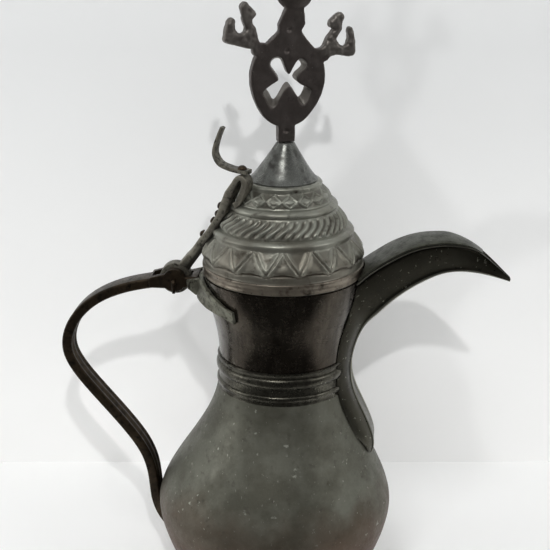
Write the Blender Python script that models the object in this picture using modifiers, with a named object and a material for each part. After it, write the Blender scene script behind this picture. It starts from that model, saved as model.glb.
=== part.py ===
"""Dallah coffee pot: a sheet-metal pot with a forged handle and a hinged, tiered lid.

Metres, +Z up. The origin is on the neck's axis, in the plane that the base stands on.
+X points to the spout, -X to the handle, and the lid's hinge axis runs along Y.
"""

import math

import bmesh
import bpy
from mathutils import Matrix, Vector

# Fits and walls
GAP = 0.0003
SWING_GAP = 0.0008
WALL = 0.0016
FACETS = 40

# Pot body, turned
BASE_RADIUS = 0.052
BASE_THICKNESS = 0.0022
BASE_LAP = 0.002
BELLY_RADIUS = 0.0814
BELLY_HEIGHT = 0.072
BELLY_LEAN = 0.0057
WAIST_RADIUS = 0.0432
WAIST_HEIGHT = 0.160
WAIST_BAND = 0.0226
WAIST_RING = 0.0018
WAIST_LIP = 0.0009
RIM_RADIUS = 0.053
RIM_HEIGHT = 0.2388
POUR_HOLE_RADIUS = 0.0026
POUR_HOLE_PITCH = 0.008
POUR_HOLE_DROP = 0.026

# Lid, turned; heights are above the pot's rim
LID_RADIUS = 0.0536
LID_WALL = 0.0014
BAND_HEIGHT = 0.0078
SKIRT_DEPTH = 0.0078
SKIRT_GAP = 0.0015
LOW_RING_RADIUS = 0.0464
LOW_RING_HEIGHT = 0.0286
MID_RING_RADIUS = 0.0356
MID_RING_HEIGHT = 0.0458
TOP_RING_RADIUS = 0.0254
TOP_RING_HEIGHT = 0.0608
RING_SIZE = 0.0042
TOP_RING_SIZE = 0.0024
TOP_FLANGE = 0.0060
CONE_RADIUS = 0.0226
CONE_HEIGHT = 0.0247
CONE_TIP_RADIUS = 0.0059
CONE_LEAN = 0.0014

# Finial, a flat casting on a tenon
FINIAL_THICKNESS = 0.0064
FINIAL_TURN = math.radians(21.0)
STEM_WIDTH = 0.011
STEM_HEIGHT = 0.0116
DISC_WIDTH = 0.049
DISC_HEIGHT = 0.050
DISC_SHIFT = 0.0010
KNOB_RADIUS = 0.0125
KNOB_HEIGHT = 0.0945
KNOB_SHIFT = 0.0057
TENON_RADIUS = 0.0024
WASHER_RADIUS = 0.0046
WASHER_THICKNESS = 0.0012

# Hinge
PIN_REACH = 0.072
PIN_DROP = 0.0058
PIN_RADIUS = 0.0011
PIN_TAIL = 0.008
LUG_RADIUS = 0.0078
SLOT_BACK = 0.0042
FORK_WIDTH = 0.019
BARREL_RADIUS = 0.0105
BARREL_WIDTH = 0.0094

# Handle, a flat bar bent in the XZ plane
HANDLE_THICKNESS = 0.0068
HANDLE_WIDTH = 0.016
HANDLE_REACH = 0.148
HANDLE_FOOT = 0.046

# Bracket that carries the handle on the neck
BRACKET_WIDTH = 0.009
BRACKET_THICKNESS = 0.0026
BRACKET_SPAN = math.radians(57.0)
BRACKET_FALL = 0.0125

# Lid strap, its rolled loop, the thumb lift and rivets
STRAP_THICKNESS = 0.0036
STRAP_ROOT = 0.0080
STRAP_WIDTH = 0.0090
STRAP_SKEW = 0.50
STRAP_SKEW_START = 0.009
LOOP_RISE = 0.0744
LIFT_THICKNESS = 0.0028
LIFT_WIDTH = 0.007
RIVET_HEAD = 0.0023
RIVET_SHANK = 0.0010

# Spout, a folded trough under a cover plate
SPOUT_SHEET = 0.0015
SPOUT_WIDTH = 0.042
SPOUT_TIP_WIDTH = 0.0036
KEEL_WIDTH = 0.0126
KEEL_STAND = 0.0048
SPOUT_LENGTH = 0.1495
SPOUT_RISE = 0.0248
TONGUE_LENGTH = 0.048
ROOF_LENGTH = 0.132
ROOF_CROWN = 0.0012
ROOF_LIP = 0.0008

# Heights that follow from the sizes above
LID_BASE = RIM_HEIGHT + GAP
CONE_BASE = RIM_HEIGHT + TOP_RING_HEIGHT + TOP_RING_SIZE
CONE_TOP = CONE_BASE + CONE_HEIGHT
FINIAL_BASE = CONE_TOP + GAP
PIN_Z = RIM_HEIGHT - PIN_DROP
PIN = Vector((-PIN_REACH, 0.0, PIN_Z))

# Tongue of the spout, as (share of its height, stand in keel stands, share of the spout's half width)
TONGUE = (
    (0.000, 0.05, 0.60), (0.035, 0.75, 0.66), (0.082, 1.35, 0.74), (0.182, 1.70, 0.82),
    (0.323, 1.24, 0.88), (0.408, 0.82, 0.92), (0.492, 0.70, 0.94), (0.577, 0.92, 0.96),
)
# Keel of the spout, as (share of the reach beyond the rim, height above the rim in spout rises)
KEEL = (
    (-0.013, -1.468), (0.040, -1.170), (0.110, -0.827), (0.185, -0.544), (0.280, -0.278),
    (0.392, -0.060), (0.500, 0.090), (0.620, 0.175), (0.800, 0.130), (1.000, -0.110),
)
# Upper edges of the spout: the same two shares, then the share of the half width
EDGE = (
    (-0.098, -0.806, 0.975), (-0.083, -0.202, 0.960), (-0.010, 0.081, 0.900), (0.073, 0.335, 0.830),
    (0.197, 0.645, 0.810), (0.321, 0.867, 0.710), (0.446, 0.980, 0.617), (0.600, 0.992, 0.490),
    (0.780, 0.758, 0.190), (1.002, -0.016, 0.0),
)
# Finial outlines, in shares of the disc's height, from the stem's foot
CROSS = (
    (-0.232, 0.990), (-0.184, 1.074), (-0.082, 1.074), (0.026, 0.854), (0.188, 1.058), (0.272, 0.968), (0.126, 0.788),
    (0.328, 0.616), (0.232, 0.444), (0.028, 0.706), (-0.186, 0.428), (-0.314, 0.648), (-0.112, 0.792),
)
BIRD_LEFT = (
    (-0.420, 1.120), (-0.440, 1.206), (-0.502, 1.220), (-0.766, 1.290), (-0.790, 1.352), (-0.762, 1.494),
    (-0.724, 1.570), (-0.674, 1.550), (-0.684, 1.444), (-0.602, 1.374), (-0.534, 1.402), (-0.550, 1.558),
    (-0.574, 1.714), (-0.530, 1.760), (-0.392, 1.620), (-0.456, 1.568), (-0.450, 1.508), (-0.400, 1.434),
    (-0.350, 1.276), (-0.256, 1.248), (-0.250, 1.100),
)
BIRD_RIGHT = (
    (0.300, 1.030), (0.330, 1.160), (0.474, 1.170), (0.486, 1.256), (0.564, 1.352), (0.600, 1.398), (0.560, 1.460),
    (0.638, 1.568), (0.702, 1.602), (0.738, 1.554), (0.718, 1.468), (0.732, 1.394), (0.668, 1.310), (0.690, 1.226),
    (0.750, 1.184), (0.806, 1.250), (0.768, 1.368), (0.800, 1.416), (0.850, 1.402), (0.888, 1.266), (0.884, 1.066),
    (0.672, 1.088), (0.568, 1.068), (0.516, 1.008),
)
# Strap and thumb lift, in shares of the loop's rise, from the pin
STRAP = (
    (0.067, 0.089), (0.128, 0.169), (0.191, 0.251), (0.269, 0.362), (0.366, 0.497), (0.449, 0.640), (0.474, 0.718),
    (0.515, 0.819), (0.552, 0.914), (0.586, 0.978), (0.622, 1.000), (0.653, 0.970), (0.652, 0.914), (0.628, 0.836),
    (0.594, 0.773), (0.562, 0.752),
)
LIFT = (
    (0.672, -0.003), (0.624, 0.0), (0.578, 0.003), (0.524, 0.010), (0.440, 0.038), (0.398, 0.098), (0.394, 0.162),
    (0.424, 0.262), (0.464, 0.358),
)
RIVET_SPANS = (6, 8, 9, 11)


# Scene and materials


def clear_scene():
    """Remove every object so that the script can be run again."""
    for obj in list(bpy.data.objects):
        bpy.data.objects.remove(obj, do_unlink=True)
    for group in list(bpy.data.collections):
        bpy.data.collections.remove(group)


def new_collection(name):
    """Add a collection to the scene."""
    group = bpy.data.collections.new(name)
    bpy.context.scene.collection.children.link(group)
    return group


def metal(name, colour, roughness, metallic=0.85):
    """A Principled BSDF with one colour."""
    made = bpy.data.materials.new(name)
    made.use_nodes = True
    shader = made.node_tree.nodes["Principled BSDF"]
    shader.inputs["Base Color"].default_value = (*colour, 1.0)
    shader.inputs["Roughness"].default_value = roughness
    shader.inputs["Metallic"].default_value = metallic
    made.diffuse_color = (*colour, 1.0)
    return made


# Curve helpers


def bezier(start, lean_out, lean_in, end, steps):
    """Points along one cubic Bezier, both ends included."""
    points = []
    for i in range(steps + 1):
        t = i / steps
        weights = ((1 - t) ** 3, 3 * t * (1 - t) ** 2, 3 * t * t * (1 - t), t**3)
        corners = (start, lean_out, lean_in, end)
        points.append(tuple(sum(w * c[k] for w, c in zip(weights, corners)) for k in range(len(start))))
    return points


def smooth_path(points, steps):
    """A Catmull-Rom curve through the points, with the given steps between neighbours."""
    path = []
    last = len(points) - 1
    for i in range(last):
        around = [Vector(points[max(0, min(last, i + k))]) for k in (-1, 0, 1, 2)]
        for s in range(steps):
            t = s / steps
            a, b, c, d = around
            bend = (2 * a - 5 * b + 4 * c - d) * t**2 + (3 * b - a - 3 * c + d) * t**3
            path.append(0.5 * (2 * b + (c - a) * t + bend))
    path.append(Vector(points[-1]))
    return path


def ribbon(path, widths):
    """The closed outline of a flat strip that follows a path in a plane."""
    left, right = [], []
    for i, point in enumerate(path):
        along = path[min(i + 1, len(path) - 1)] - path[max(i - 1, 0)]
        across = Vector((-along[1], along[0])).normalized() * widths[i] / 2
        left.append(point + across)
        right.append(point - across)
    return left + right[::-1]


def radius_at(profile, height):
    """The radius of a profile, listed from top to bottom, at a height."""
    for (r_high, z_high), (r_low, z_low) in zip(profile, profile[1:]):
        if z_low <= height <= z_high and z_high > z_low:
            return r_low + (r_high - r_low) * (height - z_low) / (z_high - z_low)
    return profile[0][0] if height > profile[0][1] else profile[-1][0]


def ease(t):
    """A smooth step from 0 to 1."""
    t = min(max(t, 0.0), 1.0)
    return t * t * (3 - 2 * t)


# Profiles of the turned pieces, as (radius, height) from top to bottom


def belly_profile():
    """The belly's outside."""
    foot = (BASE_RADIUS, 0.0)
    wide = (BELLY_RADIUS, BELLY_HEIGHT)
    waist = (WAIST_RADIUS + 0.0014, WAIST_HEIGHT)
    waist_lean = (WAIST_RADIUS + 0.0068, WAIST_HEIGHT - 0.035)
    upper = bezier(waist, waist_lean, (BELLY_RADIUS, BELLY_HEIGHT + 0.023), wide, 10)
    lower = bezier(wide, (BELLY_RADIUS, BELLY_HEIGHT - 0.022), (BASE_RADIUS + 0.010, 0.016), foot, 8)
    return upper + lower[1:]


def neck_profile():
    """The neck's outside."""
    foot = (WAIST_RADIUS, WAIST_HEIGHT + WAIST_BAND + GAP)
    rim = (RIM_RADIUS, RIM_HEIGHT)
    rim_lean = (RIM_RADIUS - 0.0025, RIM_HEIGHT - 0.0238)
    return bezier(rim, rim_lean, (WAIST_RADIUS, foot[1] + 0.022), foot, 9)


def offset_inward(profile, wall):
    """The profile moved inwards by a wall, along its own normals."""
    moved = []
    for i, (r, z) in enumerate(profile):
        r_up, z_up = profile[max(i - 1, 0)]
        r_down, z_down = profile[min(i + 1, len(profile) - 1)]
        normal = Vector((z_up - z_down, r_down - r_up)).normalized()
        moved.append((r - normal[0] * wall, z - normal[1] * wall))
    return moved


def lid_tier(foot, top, swell, steps):
    """One bulging tier of the lid, from its top edge down to its foot."""
    rise = top[1] - foot[1]
    lean_top = (top[0] + swell * 2.2, top[1] - rise * 0.25)
    lean_foot = (foot[0] + swell, foot[1] + rise * 0.45)
    return bezier(top, lean_top, lean_foot, foot, steps)


def lid_ring(radius, height, size=RING_SIZE):
    """One half-round ring moulding, from its top edge down to its foot."""
    foot = (radius, height)
    top = (radius - size * 0.9, height + size)
    return bezier(top, (radius - size * 0.4, height + size), (radius + size * 0.3, height + size * 0.5), foot, 4)


def lid_profile():
    """The outside of the lid's dome, from its top edge down to its foot."""
    low = RIM_HEIGHT + LOW_RING_HEIGHT
    mid = RIM_HEIGHT + MID_RING_HEIGHT
    top = RIM_HEIGHT + TOP_RING_HEIGHT
    step = 0.0005
    shoulder = LID_BASE + BAND_HEIGHT + GAP
    points = [(TOP_RING_RADIUS - TOP_FLANGE, CONE_BASE)]
    points += lid_ring(TOP_RING_RADIUS, top, TOP_RING_SIZE)
    foot = (MID_RING_RADIUS - RING_SIZE * 0.9, mid + RING_SIZE + step)
    points += lid_tier(foot, (TOP_RING_RADIUS, top - step), 0.0007, 5)
    points += lid_ring(MID_RING_RADIUS, mid)
    foot = (LOW_RING_RADIUS - RING_SIZE * 0.9, low + RING_SIZE + step)
    points += lid_tier(foot, (MID_RING_RADIUS, mid - step), 0.0008, 5)
    points += lid_ring(LOW_RING_RADIUS, low)
    points += lid_tier((LID_RADIUS - 0.0006, shoulder), (LOW_RING_RADIUS, low - step), 0.0016, 7)
    points.append((LID_RADIUS - LID_WALL - GAP, shoulder))
    points.append((LID_RADIUS - LID_WALL - GAP, LID_BASE))
    return points


def lid_inside():
    """The inside of the lid's dome, from its foot up to its top edge."""
    skirt = LID_RADIUS - 2 * LID_WALL - GAP
    points = [(skirt, LID_BASE), (skirt, LID_BASE + BAND_HEIGHT + 0.006)]
    for radius, height in ((LOW_RING_RADIUS, LOW_RING_HEIGHT), (MID_RING_RADIUS, MID_RING_HEIGHT)):
        points.append((radius - 2.2 * LID_WALL, RIM_HEIGHT + height - LID_WALL))
        points.append((radius - RING_SIZE - 1.6 * LID_WALL, RIM_HEIGHT + height + RING_SIZE - 1.6 * LID_WALL))
    points.append((TOP_RING_RADIUS - 2.2 * LID_WALL, RIM_HEIGHT + TOP_RING_HEIGHT - LID_WALL))
    points.append((TOP_RING_RADIUS - TOP_FLANGE, CONE_BASE - LID_WALL))
    return points


# Solid builders


def add_object(name, data, group, material=None):
    """Link a new object to a collection, with its material if one is given."""
    made = bpy.data.objects.new(name, data)
    group.objects.link(made)
    if material is not None:
        data.materials.append(material)
    return made


def frozen(obj):
    """Replace an object by a plain mesh of its evaluated shape, with doubled points merged."""
    graph = bpy.context.evaluated_depsgraph_get()
    mesh = bpy.data.meshes.new_from_object(obj.evaluated_get(graph))
    work = bmesh.new()
    work.from_mesh(mesh)
    bmesh.ops.remove_doubles(work, verts=work.verts, dist=1e-6)
    bmesh.ops.recalc_face_normals(work, faces=work.faces)
    work.to_mesh(mesh)
    work.free()
    name, group, place = obj.name, obj.users_collection[0], obj.matrix_world.copy()
    bpy.data.objects.remove(obj, do_unlink=True)
    made = bpy.data.objects.new(name, mesh)
    group.objects.link(made)
    made.matrix_world = place
    bpy.context.view_layer.update()
    return made


def smooth(obj, degrees=35.0):
    """Shade smooth, with sharp edges over the angle."""
    obj.data.shade_smooth()
    obj.data.set_sharp_from_angle(angle=math.radians(degrees))
    return obj


def turned(name, profile, group, material=None, facets=FACETS):
    """A closed profile, listed down its outer side first, turned round Z."""
    mesh = bpy.data.meshes.new(name)
    count = len(profile)
    on_axis = profile[0][0] == 0.0 and profile[-1][0] == 0.0
    edges = [(i, i + 1) for i in range(count - 1)] + ([] if on_axis else [(count - 1, 0)])
    mesh.from_pydata([(r, 0.0, z) for r, z in profile], edges, [])
    made = add_object(name, mesh, group, material)
    spin = made.modifiers.new("turn", "SCREW")
    spin.angle = 2 * math.pi
    spin.steps = spin.render_steps = facets
    spin.use_merge_vertices = True
    spin.merge_threshold = 1e-5
    bpy.context.view_layer.update()
    return smooth(frozen(made))


def leaned(obj):
    """Shift a turned piece towards the handle below the waist, as the belly was raised off centre."""
    for point in obj.data.vertices:
        point.co.x -= BELLY_LEAN * ease((WAIST_HEIGHT - point.co.z) / (WAIST_HEIGHT - BELLY_HEIGHT))
    return obj


def flat(name, outlines, thickness, group, material=None):
    """A flat plate in the XZ plane, centred on Y: the first outline, with the others cut out."""
    curve = bpy.data.curves.new(name, "CURVE")
    curve.dimensions = "2D"
    curve.fill_mode = "BOTH"
    curve.extrude = thickness / 2
    for outline in outlines:
        spline = curve.splines.new("POLY")
        spline.points.add(len(outline) - 1)
        for point, (x, z) in zip(spline.points, outline):
            point.co = (x, z, 0.0, 1.0)
        spline.use_cyclic_u = True
    made = add_object(name, curve, group, material)
    made.matrix_world = Matrix.Rotation(math.pi / 2, 4, "X")
    bpy.context.view_layer.update()
    made = frozen(made)
    made.data.transform(made.matrix_world)
    made.matrix_world = Matrix.Identity(4)
    return smooth(made)


def rod(name, start, end, radius, group, material=None, sides=16):
    """A round bar between two points."""
    axis = Vector(end) - Vector(start)
    bpy.ops.mesh.primitive_cylinder_add(vertices=sides, radius=radius, depth=axis.length)
    made = bpy.context.active_object
    made.name = name
    made.data.name = name
    turn = axis.to_track_quat("Z", "Y").to_matrix().to_4x4()
    made.data.transform(Matrix.Translation((Vector(start) + Vector(end)) / 2) @ turn)
    for other in list(made.users_collection):
        other.objects.unlink(made)
    group.objects.link(made)
    if material is not None:
        made.data.materials.append(material)
    return smooth(made)


def block(name, low, high, group):
    """A box between two corners."""
    bpy.ops.mesh.primitive_cube_add(size=1.0)
    made = bpy.context.active_object
    made.name = name
    size = Vector(high) - Vector(low)
    made.data.transform(Matrix.Translation((Vector(low) + Vector(high)) / 2) @ Matrix.Diagonal((*size, 1.0)))
    for other in list(made.users_collection):
        other.objects.unlink(made)
    group.objects.link(made)
    return made


def lofted(name, sections, closed_section, group, material=None):
    """Quads between matching points of neighbouring sections, capped at both ends if they are closed."""
    mesh = bpy.data.meshes.new(name)
    work = bmesh.new()
    rows = [[work.verts.new(p) for p in section] for section in sections]
    width = len(sections[0])
    span = width if closed_section else width - 1
    for row, after in zip(rows, rows[1:]):
        for i in range(span):
            j = (i + 1) % width
            work.faces.new((row[i], row[j], after[j], after[i]))
    if closed_section:
        work.faces.new(rows[0][::-1])
        work.faces.new(rows[-1])
    bmesh.ops.recalc_face_normals(work, faces=work.faces)
    work.to_mesh(mesh)
    work.free()
    return smooth(add_object(name, mesh, group, material))


def combine(obj, other, operation):
    """Join another solid to this one, or cut it away, with the other kept as a hidden guide."""
    other.hide_render = True
    other.display_type = "WIRE"
    change = obj.modifiers.new(operation.lower(), "BOOLEAN")
    change.operation = operation
    change.object = other
    return obj


# The pot


def build_pot(parts, cutters, finish):
    """The belly, its base plate, the waist ring and the neck with its strainer holes."""
    belly = belly_profile()
    neck = neck_profile()
    seat = WAIST_RADIUS - GAP - 0.0002
    joint = WAIST_HEIGHT + WAIST_BAND / 2

    base_seat = BASE_RADIUS - BASE_LAP
    inner = [p for p in offset_inward(belly, WALL) if p[1] > BASE_THICKNESS + WALL / 2]
    collar = [(seat, joint - GAP / 2), (seat, WAIST_HEIGHT - GAP)]
    loop = collar + belly + [(base_seat, 0.0), (base_seat, BASE_THICKNESS)] + inner[::-1]
    loop += [(seat - WALL, WAIST_HEIGHT - GAP), (seat - WALL, joint - GAP / 2)]
    leaned(turned("belly_shell", loop, parts, finish["body"]))

    bottom = [(0.0, BASE_THICKNESS), (base_seat - GAP, BASE_THICKNESS), (base_seat - GAP, 0.0), (0.0, 0.0)]
    plate = turned("base_plate", bottom, parts, finish["body"])
    plate.data.transform(Matrix.Translation((-BELLY_LEAN, 0.0, 0.0)))

    swell = WAIST_RADIUS + WAIST_RING * 1.3
    small = WAIST_RADIUS + WAIST_RING * 1.1
    hollow = WAIST_RADIUS + WAIST_LIP * 0.6
    band = [(WAIST_RADIUS + WAIST_LIP, 1.0), (hollow, 0.89)]
    band += bezier((hollow, 0.814), (swell, 0.788), (swell, 0.566), (hollow, 0.513), 5)
    band += [(hollow, 0.336)]
    band += bezier((hollow, 0.292), (small, 0.274), (small, 0.133), (hollow, 0.115), 4)
    band += [(WAIST_RADIUS + WAIST_LIP * 1.3, 0.0), (WAIST_RADIUS, 0.0), (WAIST_RADIUS, 1.0)]
    ring = [(r, WAIST_HEIGHT + share * WAIST_BAND) for r, share in band]
    turned("waist_ring", ring, parts, finish["body"])

    foot = WAIST_HEIGHT + WAIST_BAND + GAP
    inside = offset_inward(neck, WALL)[::-1]
    loop = neck + [(seat, foot - 0.0002), (seat, joint + GAP / 2), (seat - WALL, joint + GAP / 2)]
    loop += inside[:-1] + [(RIM_RADIUS - WALL, RIM_HEIGHT)]
    collar = turned("neck_collar", loop, parts, finish["body"])
    drill = RIM_RADIUS + 0.010
    for row, columns in ((-1, (-0.5, 0.5)), (0, (-1, 0, 1)), (1, (-0.5, 0.5))):
        for column in columns:
            y = column * POUR_HOLE_PITCH
            z = RIM_HEIGHT - POUR_HOLE_DROP + row * POUR_HOLE_PITCH * 0.87
            hole = rod("pour_hole", (0.02, y, z), (drill, y, z), POUR_HOLE_RADIUS, cutters, sides=12)
            combine(collar, hole, "DIFFERENCE")
    return belly, neck


def pot_envelope(belly, neck, cutters):
    """The pot's outside plus the seat gap, with room for the lid above, which trims what is fixed to the pot."""
    room = LID_RADIUS + SWING_GAP
    band = WAIST_RADIUS + WAIST_RING + GAP
    body = [(0.0, RIM_HEIGHT + 0.2), (room, RIM_HEIGHT + 0.2), (room, RIM_HEIGHT + GAP)]
    body += [(r + GAP, z) for r, z in neck]
    body += [(band, neck[-1][1] - GAP / 2), (band, WAIST_HEIGHT + GAP / 2)]
    body += [(r + GAP * 1.2, z) for r, z in belly] + [(0.0, 0.0)]
    return leaned(turned("pot_envelope", body, cutters))


def outside_x(belly, neck, height, towards):
    """The X of the pot's outside at a height, on the spout's side (+1) or the handle's side (-1)."""
    lean = BELLY_LEAN * ease((WAIST_HEIGHT - height) / (WAIST_HEIGHT - BELLY_HEIGHT))
    if height > WAIST_HEIGHT + WAIST_BAND:
        radius = radius_at(neck, height)
    else:
        radius = radius_at(belly, min(height, WAIST_HEIGHT))
    return towards * radius - lean


# The spout


def spout_stations(belly, neck):
    """Keel and edge points, as (x, z, half width), from the tongue on the belly up to the tip."""
    keel_half = KEEL_WIDTH / 2
    edge_half = SPOUT_WIDTH / 2
    tip = SPOUT_TIP_WIDTH / 2
    low = WAIST_HEIGHT - TONGUE_LENGTH
    rise = RIM_HEIGHT - low
    keel, edge = [], []
    for share, stand, spread in TONGUE:
        z = low + share * rise
        keel.append((outside_x(belly, neck, z, 1) + stand * KEEL_STAND, z, keel_half * (1.25 - 0.4 * share)))
        z_edge = z + (0.08 + 0.42 * share) * TONGUE_LENGTH
        half = edge_half * spread
        reach = outside_x(belly, neck, z_edge, 1)
        edge.append((math.sqrt(reach**2 - half**2) - 2 * SPOUT_SHEET, z_edge, half))
    reach = SPOUT_LENGTH - RIM_RADIUS
    for along, lift in KEEL:
        half = tip / 3 + (keel_half - tip / 3) * min(1.0, 1.6 * (1 - along))
        keel.append((RIM_RADIUS + along * reach, RIM_HEIGHT + lift * SPOUT_RISE, half))
    for along, lift, spread in EDGE:
        half = tip + (edge_half - tip) * spread
        edge.append((RIM_RADIUS + along * reach, RIM_HEIGHT + lift * SPOUT_RISE, half))
    return smooth_path(keel, 2), smooth_path(edge, 2)


def build_spout(belly, neck, parts, envelope, finish):
    """The folded trough, open above, and its cover plate."""
    keel, edge = spout_stations(belly, neck)
    sections = []
    for (kx, kz, kw), (ex, ez, ew) in zip(keel, edge):
        sections.append([(ex, -ew, ez), (kx, -kw, kz), (kx, kw, kz), (ex, ew, ez)])
    trough = lofted("spout_trough", sections, False, parts, finish["spout"])
    fold = trough.modifiers.new("sheet", "SOLIDIFY")
    fold.thickness = SPOUT_SHEET
    fold.offset = -1.0
    fold.use_even_offset = True
    combine(trough, envelope, "DIFFERENCE")

    top = []
    across = (-1.0, -0.55, 0.0, 0.55, 1.0)
    for ex, ez, ew in edge:
        if ez > RIM_HEIGHT and ex < ROOF_LENGTH:
            half = ew + ROOF_LIP
            low = [(ex, s * half, ez + GAP * 1.5 + ROOF_CROWN * (1 - s * s)) for s in across]
            high = [(x, y, z + SPOUT_SHEET) for x, y, z in low[::-1]]
            top.append(low + high)
    roof = lofted("spout_roof", top, True, parts, finish["spout"])
    combine(roof, envelope, "DIFFERENCE")


# The handle, its bracket and the pin


def handle_path(belly, neck):
    """Centre line of the handle's bar, from the fork down to its foot on the belly."""
    touch = HANDLE_THICKNESS / 2
    foot = outside_x(belly, neck, HANDLE_FOOT, -1)
    wide = outside_x(belly, neck, BELLY_HEIGHT, -1) - touch
    out = -HANDLE_REACH
    return [
        (PIN.x - 0.006, PIN_Z - 0.0015),
        (PIN.x - 0.028, PIN_Z - 0.005),
        (PIN.x - 0.050, PIN_Z - 0.0125),
        (out + 0.0115, PIN_Z - 0.024),
        (out + 0.0035, PIN_Z - 0.035),
        (out, PIN_Z - 0.046),
        (out + 0.0008, PIN_Z - 0.057),
        (out + 0.0065, PIN_Z - 0.071),
        (out + 0.0285, PIN_Z - 0.0955),
        ((out + wide) / 2 + 0.0085, BELLY_HEIGHT + 0.052),
        (wide - 0.0055, BELLY_HEIGHT + 0.034),
        (wide - 0.0008, BELLY_HEIGHT + 0.016),
        (wide - 0.0004, BELLY_HEIGHT - 0.004),
        ((wide + foot) / 2 - 0.0008, (BELLY_HEIGHT + HANDLE_FOOT) / 2 - 0.004),
        (foot - 0.0010, HANDLE_FOOT),
    ]


def build_handle(belly, neck, parts, cutters, envelope, finish):
    """The bar with its fork, the bracket on the neck and the bent pin."""
    path = smooth_path(handle_path(belly, neck), 3)
    last = len(path) - 1
    widths = [HANDLE_THICKNESS * min(1.0, 0.25 + 0.75 * (last - i) / 6) for i in range(last + 1)]
    bar = flat("handle", [ribbon(path, widths)], HANDLE_WIDTH, parts, finish["iron"])

    saddle = -(radius_at(neck, PIN_Z + BRACKET_WIDTH / 2) + BRACKET_THICKNESS + 2.5 * GAP)
    back = PIN.x - LUG_RADIUS * 2.2
    arm = [(back, PIN_Z + 0.0012), (PIN.x, PIN_Z + LUG_RADIUS * 0.75), (saddle, PIN_Z + 0.0030)]
    arm += [(saddle, PIN_Z - 0.0058), (PIN.x, PIN_Z - LUG_RADIUS * 0.75), (back, PIN_Z - 0.0056)]
    combine(bar, flat("fork_arm", [arm], FORK_WIDTH, cutters), "UNION")
    half = Vector((0.0, FORK_WIDTH / 2 + GAP, 0.0))
    combine(bar, rod("fork_lug", PIN - half, PIN + half, LUG_RADIUS, cutters, sides=24), "UNION")
    slot = Vector((BARREL_RADIUS + SWING_GAP, BARREL_WIDTH / 2 + GAP, 2 * FORK_WIDTH))
    behind = Vector((SLOT_BACK, 0.0, 0.0))
    combine(bar, block("fork_slot", PIN - slot - behind, PIN + slot, cutters), "DIFFERENCE")
    bore = Vector((0.0, FORK_WIDTH, 0.0))
    combine(bar, rod("fork_bore", PIN - bore, PIN + bore, PIN_RADIUS + GAP, cutters, sides=16), "DIFFERENCE")
    combine(bar, envelope, "DIFFERENCE")

    stations = []
    for i in range(13):
        turn = -1.0 + 2.0 * i / 12
        around = math.pi + turn * BRACKET_SPAN
        middle = PIN_Z - GAP - BRACKET_FALL * abs(turn) ** 1.15
        section = []
        for side, out in ((-1, 0.0), (-1, 1.0), (1, 1.0), (1, 0.0)):
            z = middle + side * BRACKET_WIDTH / 2
            r = radius_at(neck, z) + 1.5 * GAP + out * BRACKET_THICKNESS
            section.append((r * math.cos(around), r * math.sin(around), z))
        stations.append(section)
    lofted("hinge_bracket", stations, True, parts, finish["body"])

    reach = FORK_WIDTH / 2
    head = 2.1
    bend = PIN_RADIUS * 2.4
    route = [(reach + 0.0024, 0.0, head), (reach + 0.0008, 0.0, head), (reach + 0.0007, 0.0, 1.0)]
    route += [(-reach - 0.45 * bend, 0.0, 1.0), (-reach - 0.85 * bend, -0.22 * bend, 1.0)]
    route += [(-reach - bend, -0.7 * bend, 1.0), (-reach - bend, -PIN_TAIL, 0.8)]
    wire = bpy.data.curves.new("hinge_pin", "CURVE")
    wire.dimensions = "3D"
    wire.bevel_depth = PIN_RADIUS
    wire.bevel_resolution = 2
    wire.use_fill_caps = True
    spline = wire.splines.new("POLY")
    spline.points.add(len(route) - 1)
    for point, (y, z, size) in zip(spline.points, route):
        point.co = (*(PIN + Vector((0.0, y, z))), 1.0)
        point.radius = size
    pin = frozen(add_object("hinge_pin", wire, parts))
    pin.data.materials.append(finish["iron"])
    smooth(pin)


# The lid


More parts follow.
